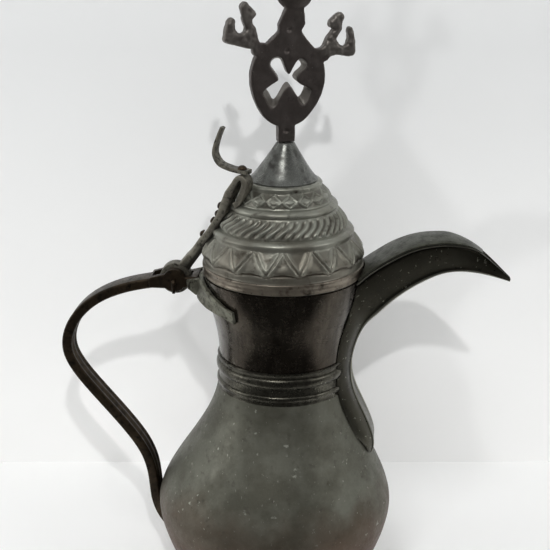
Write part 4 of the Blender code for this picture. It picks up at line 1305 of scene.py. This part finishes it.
    def lattice(self, around: float, t: float) -> float:
        """Height of the top tier's pattern: two crossing waves with raised diamonds, in millimetres."""
        swing = LATTICE_SWING * math.asin(math.sin(self.waves * around)) * 2 / math.pi
        slope = LATTICE_SWING * self.waves * 2 / math.pi * LATTICE_TALL / LATTICE_RADIUS
        reach = LATTICE_TALL / math.sqrt(1.0 + slope * slope)
        lines = max(ridge((t - 0.5 - swing) * reach, 0.48), ridge((t - 0.5 + swing) * reach, 0.48))
        inner = ease((0.55 * abs(swing) - abs(t - 0.5)) / 0.07)
        return (1.15 * lines + 0.70 * inner - 0.45) * ease((t - 0.04) / 0.08) * ease((0.96 - t) / 0.08)

    def emboss(self, obj: Piece) -> None:
        """Raise the three patterns on the dome and keep their height as the relief attribute."""
        patterns: list[Callable[[float, float], float]] = [self.chevron, self.gadroon, self.lattice]
        outline = self.outside()
        levels = []
        for point in obj.data.vertices:
            r = math.hypot(point.co.x, point.co.y)
            level = 0.5
            for (foot, top, _, _), pattern in zip(self.tiers(), patterns):
                if foot[1] < point.co.z < top[1] and r > radius_at(outline, point.co.z) - 0.4 * MM:
                    around = math.atan2(point.co.y, point.co.x) + PATTERN_START
                    wear = min(max(0.95 + 0.45 * noise.noise(point.co / WEAR_SIZE), LEAST_HEIGHT), 1.0)
                    height = wear * pattern(around, (point.co.z - foot[1]) / (top[1] - foot[1]))
                    radial = Vector((point.co.x, point.co.y, 0.0)).normalized()
                    lift = (radial + Vector((0.0, 0.0, 0.5))).normalized()
                    point.co += lift * (height - PATTERN_SUNK) * MM
                    level = min(max(0.42 + 0.42 * height, 0.0), 1.0)
            levels.append(level)
        keep_relief(obj, levels)

    def build_band(self) -> None:
        """Build and dress the rim band: a rolled lip, a shallow hollow and a rounded foot."""
        out, low, high = self.radius, self.base, self.base + self.band_height
        top, foot = drawn_from(out, high), drawn_from(out, low)
        loop = bezier(top(-1.1, 0.0), top(-0.1, 0.0), top(0.0, -0.6), top(-0.05, -2.2), 8)
        loop += [top(-0.62, -3.2), foot(-0.66, 3.2)]
        loop += bezier(foot(-0.45, 2.4), foot(-0.1, 1.6), foot(-0.2, 0.8), foot(-0.8, 0.8), 6)
        loop += [(out - self.wall, low + 0.8 * MM), (out - self.wall, high)]
        band = lathe("lid_band", loop, 160)
        self.pot.dent(band, 0.12 * MM, 12.0)
        shade(band, 45)
        self.shop.hand_over(band, BAND_BRASS, Body.LID, Slot.LID, "lid_rim_band")

    def build_cone(self) -> None:
        """Build and dress the cone, which leans a little."""
        hole, foot, top = 3.0 * MM, self.cone_base + GAP, self.cone_top
        axis, brim = drawn_from(0.0, foot), drawn_from(self.cone_radius, foot)
        flare = self.cone_radius - 2.6 * MM
        loop = [(hole, top), (self.cone_tip - 0.5 * MM, top)]
        tip = (self.cone_tip, top - 0.4 * MM)
        loop += bezier(tip, axis(10.8, 16.0), axis(15.8, 8.2), (flare, foot + 3.0 * MM), 20)
        loop += [brim(-1.2, 1.5), brim(0.0, 0.4), brim(0.0, -0.2)]
        loop += [(self.cone_radius - 1.6 * self.wall, foot), (flare - 1.2 * self.wall, foot + 2.4 * MM)]
        loop += [(self.cone_tip - 0.6 * self.wall, top - self.wall), (hole, top - self.wall)]
        cone = lathe("lid_peak", loop, 128)
        for point in cone.data.vertices:
            point.co.x += self.cone_lean * (point.co.z - self.cone_base) / self.cone_height
        self.pot.dent(cone, 0.14 * MM, 21.0)
        shade(cone, 45)
        self.shop.hand_over(cone, CONE_BRASS, Body.LID, Slot.LID, "lid_cone")

    def build(self) -> None:
        """Build and dress the dome, the rim band and the cone."""
        dome = lathe("lid_dome_embossed", self.outside() + self.inside(), self.spans)
        self.emboss(dome)
        shade(dome, 60)
        self.shop.hand_over(dome, EMBOSSED_PAINTED_LIGHT_BRASS, Body.LID, Slot.LID, "lid_dome")
        self.build_band()
        self.build_cone()
        self.shop.dress_node("lid_inner_collar", BAND_BRASS)
        self.shop.dress_node("finial_washer", CAST_BRASS)


# Finial outlines in millimetres, from the stem's foot
CROSS = (
    (-11.6, 49.5), (-9.2, 53.7), (-4.1, 53.7), (-1.5, 47.8), (1.3, 42.7), (4.9, 48.2), (9.4, 52.9),
    (13.6, 48.4), (8.2, 43.1), (6.3, 39.4), (8.9, 36.2), (14.2, 33.4), (16.4, 30.8), (11.6, 22.2),
    (5.7, 30.7), (1.4, 35.3), (-2.8, 31.1), (-9.3, 21.4), (-13.8, 27.9), (-15.7, 32.4), (-8.0, 37.6),
    (-5.6, 39.6), (-8.0, 43.8),
)
BIRD_LEFT = (
    (-21.0, 56.0), (-22.0, 60.3), (-25.1, 61.0), (-38.3, 64.5), (-39.5, 67.6), (-38.1, 74.7), (-36.2, 78.5),
    (-33.7, 77.5), (-34.2, 72.2), (-30.1, 68.7), (-26.7, 70.1), (-25.9, 73.1), (-27.5, 77.9), (-28.7, 85.7),
    (-26.5, 88.0), (-24.3, 85.6), (-19.6, 81.0), (-22.8, 78.4), (-22.5, 75.4), (-20.0, 71.7), (-17.5, 63.8),
    (-12.8, 62.4), (-12.5, 55.0),
)
BIRD_RIGHT = (
    (15.0, 51.5), (16.5, 58.0), (23.7, 58.5), (26.0, 62.4), (29.0, 67.2), (31.6, 70.0), (28.4, 72.5),
    (28.6, 75.3), (32.2, 78.2), (35.6, 80.1), (37.2, 77.7), (35.9, 73.4), (35.2, 69.2), (32.4, 65.3),
    (33.4, 61.2), (37.3, 58.4), (41.2, 62.0), (40.9, 68.2), (41.6, 70.8), (42.9, 69.9), (44.4, 63.3),
    (44.2, 53.3), (33.6, 54.4), (28.4, 53.4), (25.8, 50.4),
)
PITS = ((0.0, 57.8), (1.6, 70.9), (-0.6, 7.2))


@dataclass
class Finial:
    """One rough casting: a pierced disc with a bird at each shoulder and a knob that sits off centre."""

    shop: Workshop
    lid: Lid
    thickness: float = 6.4 * MM
    turn: float = math.radians(21.0)
    stem_width: float = 11.0 * MM
    stem_height: float = 11.6 * MM
    disc_width: float = 49.0 * MM
    disc_height: float = 50.0 * MM
    disc_shift: float = 1.0 * MM
    knob_radius: float = 12.5 * MM
    knob_height: float = 94.5 * MM
    knob_shift: float = 5.7 * MM
    pit_radius: float = 1.8 * MM
    pit_depth: float = 0.9 * MM
    cross_height: float = 38.5 * MM
    bird_reach: float = 18.5 * MM
    bird_foot: float = 50.0 * MM
    bird_share: float = 0.995
    bird_rounds: int = 14
    tenon_radius: float = 2.4 * MM
    grain: float = 0.50 * MM

    def disc_outline(self, base: float) -> list[Pair]:
        """Outline the stem, the egg-shaped disc and the waisted neck under the knob."""
        stem, size = self.stem_width / 2, self.disc_height
        neck = base + self.stem_height
        top = neck + size
        wide = (self.disc_width / 2, neck + 0.60 * size)
        under = base + self.knob_height - self.knob_radius * 0.72
        lean = (wide[0], wide[1] - 0.28 * size)
        half = bezier((stem, neck - 0.02 * size), (stem * 2.6, neck), lean, wide, 16)
        shoulder = (wide[0] * 0.80, top - 0.10 * size)
        lean = (wide[0] * 0.92, wide[1] + 0.22 * size)
        half += bezier(wide, (wide[0], wide[1] + 0.12 * size), lean, shoulder, 8)[1:]
        half += [(wide[0] * 0.48, top + 0.06 * size), (wide[0] * 0.29, top + 0.17 * size)]
        half += [(wide[0] * 0.35, top + 0.25 * size), (wide[0] * 0.22, under)]
        right, left = [(stem, base)], [(-stem, base)]
        for x, z in half:
            shift = self.disc_shift * ease((z - neck) / (size / 2))
            shift += (self.knob_shift - self.disc_shift) * ease((z - top) / (under - top))
            right.append((shift + x, z))
            left.append((shift - x, z))
        return right + left[::-1]

    def piercing(self, base: float) -> Piece:
        """Make the tool for the cross, which is wider on the front face, as the mould's draft left it."""
        outline = [(x * MM, base + z * MM) for x, z in rounded(CROSS, 4)]
        tool = plate("cross", outline, self.thickness * 1.4)
        middle = Vector((0.4 * MM, base + self.cross_height))
        for point in tool.data.vertices:
            grow, lift = (1.04, 0.0) if point.co.y < 0 else (0.72, 2.4 * MM)
            point.co.x = middle[0] + (point.co.x - middle[0]) * grow
            point.co.z = middle[1] + (point.co.z - middle[1]) * grow + lift
        return tool

    def pit(self, obj: Piece, base: float) -> None:
        """Press the casting's blow holes into both faces."""
        for point in obj.data.vertices:
            for x, z in PITS:
                away = math.hypot(point.co.x - x * MM, point.co.z - base - z * MM) / self.pit_radius
                if away < 1.0 and abs(point.co.y) > self.thickness * 0.3:
                    point.co.y -= math.copysign(self.pit_depth * (1 - away * away), point.co.y)

    def soften_birds(self, obj: Piece, base: float) -> None:
        """Round the birds off as small figures smoothed by wear, with a rougher skin than the disc's."""
        work = bmesh.new()
        work.from_mesh(obj.data)
        far, low = self.bird_reach, base + self.bird_foot
        birds = [v for v in work.verts if abs(v.co.x - self.disc_shift) > far and v.co.z > low]
        before = [v.co.copy() for v in birds]
        axes = {f"use_axis_{axis}": True for axis in "xyz"}
        for _ in range(self.bird_rounds):
            bmesh.ops.smooth_vert(work, verts=birds, factor=0.5, **axes)
        work.normal_update()
        for v, was in zip(birds, before):
            full = ease((abs(was.x - self.disc_shift) - far) / (6 * MM)) * ease((was.z - low) / (6 * MM))
            stand = 0.75 * MM + 0.50 * MM * noise.noise(v.co / (2.6 * MM))
            v.co = was.lerp(v.co + v.normal * stand, full)
        work.to_mesh(obj.data)
        work.free()

    def mark_dust(self, obj: Piece, base: float) -> None:
        """Keep, as the relief attribute, where pale dust lies: in the piercing, on birds and stem."""
        levels = []
        for point in obj.data.vertices:
            aside, up = abs(point.co.x - self.disc_shift), point.co.z - base
            bird = ease((aside - 16 * MM) / (9 * MM)) * ease((up - 48 * MM) / (9 * MM))
            stem = ease((18 * MM - up) / (8 * MM))
            patch = 0.5 + 0.5 * noise.noise(point.co / (3.5 * MM))
            level = 0.5 + 0.42 * bird * patch + 0.14 * bird + 0.30 * stem * patch
            away = math.hypot(point.co.x, up - self.cross_height)
            if away < 19 * MM and abs(point.normal.y) < 0.75:
                level = 1.0
            levels.append(level)
        keep_relief(obj, levels)

    def build(self) -> None:
        """Cast and dress the finial."""
        base = self.lid.cone_top + GAP
        disc = plate("finial", self.disc_outline(base), self.thickness)
        for outline in (BIRD_LEFT, BIRD_RIGHT):
            shape = [(x * MM, base + z * MM) for x, z in rounded(outline, 3)]
            boolean(disc, plate("bird", shape, self.thickness * self.bird_share), "UNION")
        deselect()
        bpy.ops.mesh.primitive_uv_sphere_add(segments=40, ring_count=20, radius=self.knob_radius)
        knob = bpy.context.object
        place = Matrix.Translation((self.knob_shift, 0.0, base + self.knob_height))
        knob.data.transform(place @ Matrix.Diagonal((1.0, 0.5, 1.0, 1.0)))
        boolean(disc, knob, "UNION")
        boolean(disc, self.piercing(base), "DIFFERENCE")
        apply_modifier(disc, "REMESH", mode="VOXEL", voxel_size=self.grain)
        apply_modifier(disc, "SMOOTH", factor=0.5, iterations=12)
        self.soften_birds(disc, base)
        self.pit(disc, base)
        weather(disc, 0.24 * MM, 5 * MM, 3.0)
        for point in disc.data.vertices:
            point.co.z = max(point.co.z, base)
        end = self.lid.cone_top - self.lid.wall - 1.2 * MM - 2 * GAP
        root = Vector((0, 0, base + self.stem_height / 3))
        boolean(disc, rod("tenon", Vector((0, 0, end)), root, self.tenon_radius, 32), "UNION")
        self.mark_dust(disc, base)
        lean = Matrix.Translation((self.lid.cone_lean, 0.0, 0.0))
        disc.data.transform(lean @ Matrix.Rotation(self.turn, 4, "Z"))
        shade(disc, 60)
        self.shop.hand_over(disc, FINIAL_BRASS, Body.LID, Slot.CAST, "finial_plate")


# Strap and thumb lift in shares of the loop's rise, from the pin
STRAP = (
    (0.067, 0.089), (0.128, 0.169), (0.191, 0.251), (0.269, 0.362), (0.366, 0.497), (0.449, 0.640),
    (0.474, 0.718), (0.515, 0.819), (0.552, 0.914), (0.586, 0.978), (0.622, 1.000), (0.653, 0.970),
    (0.652, 0.914), (0.628, 0.836), (0.594, 0.773), (0.562, 0.752),
)
LIFT = (
    (0.672, -0.003), (0.624, 0.0), (0.574, 0.003), (0.512, 0.010), (0.420, 0.038), (0.375, 0.098),
    (0.370, 0.162), (0.399, 0.262), (0.439, 0.358),
)
# Places along the sampled strap: where its thick root ends, where its doubling starts and ends (each with
# the length of that change), where the painted shade on its inner side ends, and where its rivets sit
ROOT_RUN = 24
DOUBLE_START = (8, 12)
DOUBLE_END = (42, 9)
SHADED_RUN = 26
RIVET_PLACES = (20, 26, 29, 35)


@dataclass
class Strap:
    """The lid's hinge strap with its rolled loop, the thumb lift and the rivets."""

    shop: Workshop
    lid: Lid
    thickness: float = 3.6 * MM
    width: float = 9.0 * MM
    root: float = 8.0 * MM
    doubling: float = 1.8 * MM
    skew: float = 0.50
    twist: float = -0.42
    skew_start: float = 9.0 * MM
    barrel_radius: float = 10.5 * MM
    loop_rise: float = 74.4 * MM
    lift_thickness: float = 2.8 * MM
    lift_width: float = 7.0 * MM
    rivet_head: float = 2.6 * MM
    rivet_flat: float = 0.78
    rivet_side: float = -1.6 * MM

    def sway(self, along: float) -> float:
        """Say how far the strap has wandered to the near side."""
        return -self.skew * max(0.0, along - self.skew_start)

    def twisted(self, x: float, y: float) -> float:
        """Say how far the strap's twist moves a point away from the lid; the far side moves towards it."""
        return self.twist * ease((x - self.skew_start) / (20 * MM)) * (y + self.width / 2)

    def at_pin(self, x: float, y: float, z: float) -> Vector:
        """Place a point that was drawn from the pin, with the strap's twist and sway."""
        return PIN + Vector((x - self.twisted(x, y), y + self.sway(x), z))

    def run(self) -> list[Vector]:
        """Trace the strap from the barrel up and round its loop."""
        return smooth_path([(x * self.loop_rise, z * self.loop_rise) for x, z in STRAP], 6)

    def outward(self, path: Sequence[Vector], i: int) -> Vector:
        """Find the way out of a bar's outer face at one point of its path."""
        along = heading(path, i)
        return Vector((-along[1], along[0]))

    def bent_bar(
        self, name: str, path: Sequence[Vector], widths: Sequence[float], thick: Sequence[float]
    ) -> Piece:
        """Loft a flat bar with rounded edges along a path drawn from the pin.

        Args:
            name: the piece's name.
            path: its run.
            widths: its width at each point of the run.
            thick: its thickness there.

        Returns:
            The bar.
        """
        sections = []
        for i, point in enumerate(path):
            out = self.outward(path, i)
            shape = bar_section(widths[i], thick[i], 0.17 * thick[i])
            sections.append([self.at_pin(point[0] + o * out[0], a, point[1] + o * out[1]) for a, o in shape])
        return loft(name, sections)

    def paint_side_light(self, obj: Piece, path: Sequence[Vector], thick: Sequence[float]) -> None:
        """Keep, as the relief attribute, a painted light on the strap's outer side and a painted shade on its
        inner side below the loop.

        Args:
            obj: the strap.
            path: its run, drawn from the pin.
            thick: its thickness at each point of the run.
        """
        levels = []
        for point in obj.data.vertices:
            x = point.co.x - PIN.x
            y = point.co.y - PIN.y - self.sway(x)
            here = Vector((x + self.twisted(x, y), point.co.z - PIN.z))
            if here.length < self.barrel_radius + 0.5 * MM:
                levels.append(0.5)
                continue
            near = min(range(1, len(path) - 1), key=lambda i: (path[i] - here).length)
            stand = (here - path[near]).dot(self.outward(path, near)) / thick[near]
            # Painted light and shade: the outer side is painted lit, the inner side below the loop painted
            # shaded.
            below_loop = 1.0 - ease((near - SHADED_RUN) / 8)
            rub_and_sheen, painted_shade = ease((stand - 0.1) / 0.3), below_loop * ease((-0.1 - stand) / 0.3)
            levels.append(0.5 + 0.4 * rub_and_sheen - 0.75 * painted_shade)
        keep_relief(obj, levels)

    def lid_room(self) -> Piece:
        """Make the tool that trims the strap to the lid's outside."""
        lid = self.lid
        loop = [(0.0, lid.cone_top), (lid.cone_tip + GAP, lid.cone_top)]
        loop += [(lid.cone_radius + GAP, lid.cone_base + 0.6 * MM)]
        loop += [(r + GAP, z) for r, z in lid.outside()[1:-2]]
        band = lid.radius + GAP
        loop += [(band, lid.base + lid.band_height), (band, lid.base), (0.0, lid.base)]
        return lathe("lid_room", loop, 128)

    def build_strap(self) -> None:
        """Build and dress the strap with its barrel and loop, and set its rivets."""
        path = self.run()
        count = len(path)
        thick = [self.root + (self.thickness - self.root) * ease(i / ROOT_RUN) for i in range(count)]
        # The strap is doubled below its loop, on the outer face.
        double = []
        for i in range(count):
            begun, ended = (ease((i - start) / length) for start, length in (DOUBLE_START, DOUBLE_END))
            double.append(self.doubling * begun * (1 - ended))
        spine = [point + self.outward(path, i) * double[i] / 2 for i, point in enumerate(path)]
        full = [a + b for a, b in zip(thick, double)]
        strap = self.bent_bar("lid_strap", spine, [self.width] * count, full)
        weather(strap, 0.25 * MM, 6 * MM, 8.0)
        half = Vector((0.0, BARREL_HALF, 0.0))
        barrel = rod("barrel", PIN - half, PIN + half, self.barrel_radius, 48)
        round_edges(barrel, 0.8 * MM)
        boolean(strap, barrel, "UNION")
        bore_through(strap)
        boolean(strap, self.lid_room(), "DIFFERENCE")
        self.paint_side_light(strap, path, thick)
        shade(strap, 35)
        self.shop.hand_over(strap, STRAP_BRASS, Body.LID, Slot.STRAP, "hinge_strap")
        for number, place in enumerate(RIVET_PLACES, start=1):
            out = self.outward(path, place)
            face = path[place] + out * (thick[place] / 2 + double[place] + GAP)
            self.rivet(f"rivet_{number}", face, out, self.rivet_head, f"strap_rivet_{number}", number)

    def build_lift(self) -> None:
        """Build and dress the thumb lift on the loop, and set its rivet."""
        seat = self.loop_rise + self.thickness / 2 + 2 * GAP + self.lift_thickness / 2
        path = smooth_path([(x * self.loop_rise, seat + z * self.loop_rise) for x, z in LIFT], 8)
        shares = [i / (len(path) - 1) for i in range(len(path))]
        slim = [self.lift_width * (1.0 - 0.45 * ease((share - 0.35) / 0.65)) for share in shares]
        thin = [self.lift_thickness * (1.0 - 0.3 * share) for share in shares]
        lift = self.bent_bar("thumb_piece", path, slim, thin)
        keep_relief(lift, [0.6] * len(lift.data.vertices))
        shade(lift, 35)
        self.shop.hand_over(lift, STRAP_BRASS, Body.LID, Slot.STRAP, "thumb_lift")
        face = Vector((LIFT[1][0] * self.loop_rise, seat + self.lift_thickness / 2 + GAP))
        self.rivet("thumb_stud", face, Vector((0.0, 1.0)), self.rivet_head * 1.2, "thumb_rivet", 9)

    def build(self) -> None:
        """Build the strap, its rivets and the thumb lift."""
        self.build_strap()
        self.build_lift()

    def rivet(self, name: str, face: Vector, out: Vector, radius: float, node: str, seed: int) -> None:
        """Build and dress one hand-closed rivet head.

        Args:
            name: the piece's name.
            face: where its underside sits, drawn from the pin.
            out: the way that it points, in the strap's plane.
            radius: the head's radius.
            node: the CAD node that it stands for.
            seed: varies the hammered shape.
        """
        deselect()
        bpy.ops.mesh.primitive_uv_sphere_add(segments=24, ring_count=14, radius=radius)
        obj = bpy.context.object
        obj.name = name
        for point in obj.data.vertices:
            point.co.z = max(point.co.z, 0.0) * self.rivet_flat
        tidy_mesh(obj, 1e-5)
        weather(obj, 0.25 * MM, 1.8 * MM, float(seed))
        for point in obj.data.vertices:
            point.co.z = max(point.co.z, 0.0)
        axis = Vector((out[0], 0.0, out[1]))
        turn = axis.to_track_quat("Z", "Y").to_matrix().to_4x4()
        obj.data.transform(Matrix.Translation(self.at_pin(face[0], self.rivet_side, face[1])) @ turn)
        shade(obj, 50)
        self.shop.hand_over(obj, CAST_BRASS, Body.LID, Slot.CAST, node)


@dataclass
class Studio:
    """The pale table and wall, soft light and a camera at the photograph's angle."""

    wall_behind: float = 0.185
    yaw: float = math.radians(5.0)
    pitch: float = math.radians(18.8)
    distance: float = 0.800
    target: tuple[float, float, float] = (-0.0053, -0.0005, 0.236)
    lens: float = 78.5
    table_colour: str = "#f9f9f8"
    wall_colour: str = "#dcdddd"
    room_colour: str = "#141210"
    ceiling_colour: str = "#f1f3f4"
    room_strength: float = 0.66
    table_ends: Pair = (-0.11, -0.20)
    bounce_light_heights: Pair = (0.36, 0.06)
    lamp_distance: float = 1.5
    lamp_target: float = 0.22

    def pale(self, name: str, code: str) -> bpy.types.Material:
        """Make a matt pale surface."""
        made = bpy.data.materials.new(name)
        made.use_nodes = True
        shader = made.node_tree.nodes["Principled BSDF"]
        shader.inputs["Base Color"].default_value = linear(code)
        shader.inputs["Roughness"].default_value = 0.75
        return made

    def table_top(self) -> bpy.types.Material:
        """Make the table's surface, which mirrors as a dark room where the real table ends in front."""
        made = self.pale("white_table", self.table_colour)
        tree = made.node_tree
        place = add_node(tree, "ShaderNodeTexCoord").outputs["Object"]
        beyond = stops(tree, part_of(tree, place, "Y"), *self.table_ends)
        mirrors = add_node(tree, "ShaderNodeLightPath").outputs["Is Glossy Ray"]
        share = combine(tree, "MULTIPLY", beyond, mirrors)
        colour = blend(tree, share, self.table_colour, self.room_colour)
        tree.links.new(colour, tree.nodes["Principled BSDF"].inputs["Base Color"])
        return made

    def wall_paint(self) -> bpy.types.Material:
        """Make the wall's paint, a little paler towards the table: painted light from the table's bounce."""
        made = self.pale("pale_wall", self.wall_colour)
        tree = made.node_tree
        place = add_node(tree, "ShaderNodeTexCoord").outputs["Object"]
        share = stops(tree, part_of(tree, place, "Z"), *self.bounce_light_heights)
        colour = blend(tree, share, self.wall_colour, self.table_colour)
        shader = tree.nodes["Principled BSDF"]
        tree.links.new(colour, shader.inputs["Base Color"])
        # The wall is one-sided, so that the pot can be seen from behind.
        behind = add_node(tree, "ShaderNodeNewGeometry").outputs["Backfacing"]
        clear = add_node(tree, "ShaderNodeBsdfTransparent").outputs[0]
        links = {0: behind, 1: shader.outputs[0], 2: clear}
        both = add_node(tree, "ShaderNodeMixShader", None, links).outputs[0]
        tree.links.new(both, tree.nodes["Material Output"].inputs["Surface"])
        return made

    def room(self) -> bpy.types.World:
        """Make the room's light: a bright ceiling and sides, and a dim side behind the camera."""
        world = bpy.data.worlds.new("room")
        world.use_nodes = True
        tree = world.node_tree
        way = add_node(tree, "ShaderNodeTexCoord").outputs["Generated"]
        front = stops(tree, part_of(tree, way, "Y"), -0.25, -0.65)
        low = stops(tree, part_of(tree, way, "Z"), 0.95, 0.70)
        share = combine(tree, "MULTIPLY", front, low)
        colour = blend(tree, share, self.ceiling_colour, self.room_colour)
        light = tree.nodes["Background"]
        tree.links.new(colour, light.inputs["Color"])
        light.inputs["Strength"].default_value = self.room_strength
        plain = add_node(tree, "ShaderNodeBackground", {"Color": linear(self.wall_colour)}).outputs[0]
        seen = add_node(tree, "ShaderNodeLightPath").outputs["Is Camera Ray"]
        links = {0: seen, 1: light.outputs[0], 2: plain}
        both = add_node(tree, "ShaderNodeMixShader", None, links).outputs[0]
        tree.links.new(both, tree.nodes["World Output"].inputs["Surface"])
        return world

    def lamp(self, name: str, way: Sequence[float], size: float, power: float, mirrored: bool = True) -> None:
        """Hang one soft square lamp that faces the pot.

        Args:
            name: the lamp's name.
            way: its direction from the pot.
            size: its side in metres.
            power: its power in watts.
            mirrored: whether polished surfaces mirror the lamp itself.
        """
        data = bpy.data.lights.new(name, "AREA")
        data.size = size
        data.energy = power
        obj = link_new(name, data)
        obj.visible_glossy = mirrored
        obj.location = Vector((0.0, 0.0, self.lamp_target)) + Vector(way).normalized() * self.lamp_distance
        obj.rotation_euler = (-Vector(way)).to_track_quat("-Z", "Y").to_euler()

    def build(self) -> None:
        """Set the table, the wall, the lamps, the world and the camera."""
        scene = bpy.context.scene
        scene.view_settings.view_transform = "Standard"
        deselect()
        bpy.ops.mesh.primitive_plane_add(size=6.0, location=(0.0, 0.0, 0.0))
        table = bpy.context.object
        table.name = "table"
        table.data.materials.append(self.table_top())
        bpy.ops.mesh.primitive_plane_add(size=6.0)
        wall = bpy.context.object
        wall.name = "wall"
        away = Vector((-math.sin(self.yaw), math.cos(self.yaw), 0.0))
        upright = Matrix.Rotation(self.yaw, 4, "Z") @ Matrix.Rotation(math.pi / 2, 4, "X")
        wall.data.transform(Matrix.Translation(away * self.wall_behind) @ upright)
        wall.data.materials.append(self.wall_paint())

        scene.world = self.room()
        self.lamp("key_front", (0.13, -0.82, 0.56), 0.03, 6.8, False)
        self.lamp("second_left", (-0.33, -0.92, 0.22), 0.10, 2.9, False)
        self.lamp("high_left", (-0.11, -0.64, 0.76), 0.44, 6.5)
        self.lamp("side_left", (-0.95, -0.25, 0.25), 0.70, 3.6)
        self.lamp("side_right", (0.90, -0.30, 0.40), 0.60, 2.9)

        data = bpy.data.cameras.new("camera")
        data.lens = self.lens
        camera = link_new("camera", data)
        flat, rise = self.distance * math.cos(self.pitch), self.distance * math.sin(self.pitch)
        toward = Vector((math.sin(self.yaw) * flat, -math.cos(self.yaw) * flat, rise))
        camera.location = Vector(self.target) + toward
        camera.rotation_euler = (-toward).to_track_quat("-Z", "Y").to_euler()
        scene.camera = camera


def main() -> None:
    """Build the pot, its lid and the studio."""
    shop = Workshop()
    pot = PotBody(shop)
    lid = Lid(shop, pot)
    pot.build()
    Spout(shop, pot).build()
    Handle(shop, pot).build()
    lid.build()
    Finial(shop, lid).build()
    Strap(shop, lid).build()
    Studio().build()


if __name__ == "__main__":
    logging.basicConfig(level=logging.INFO, format="%(message)s")
    main()
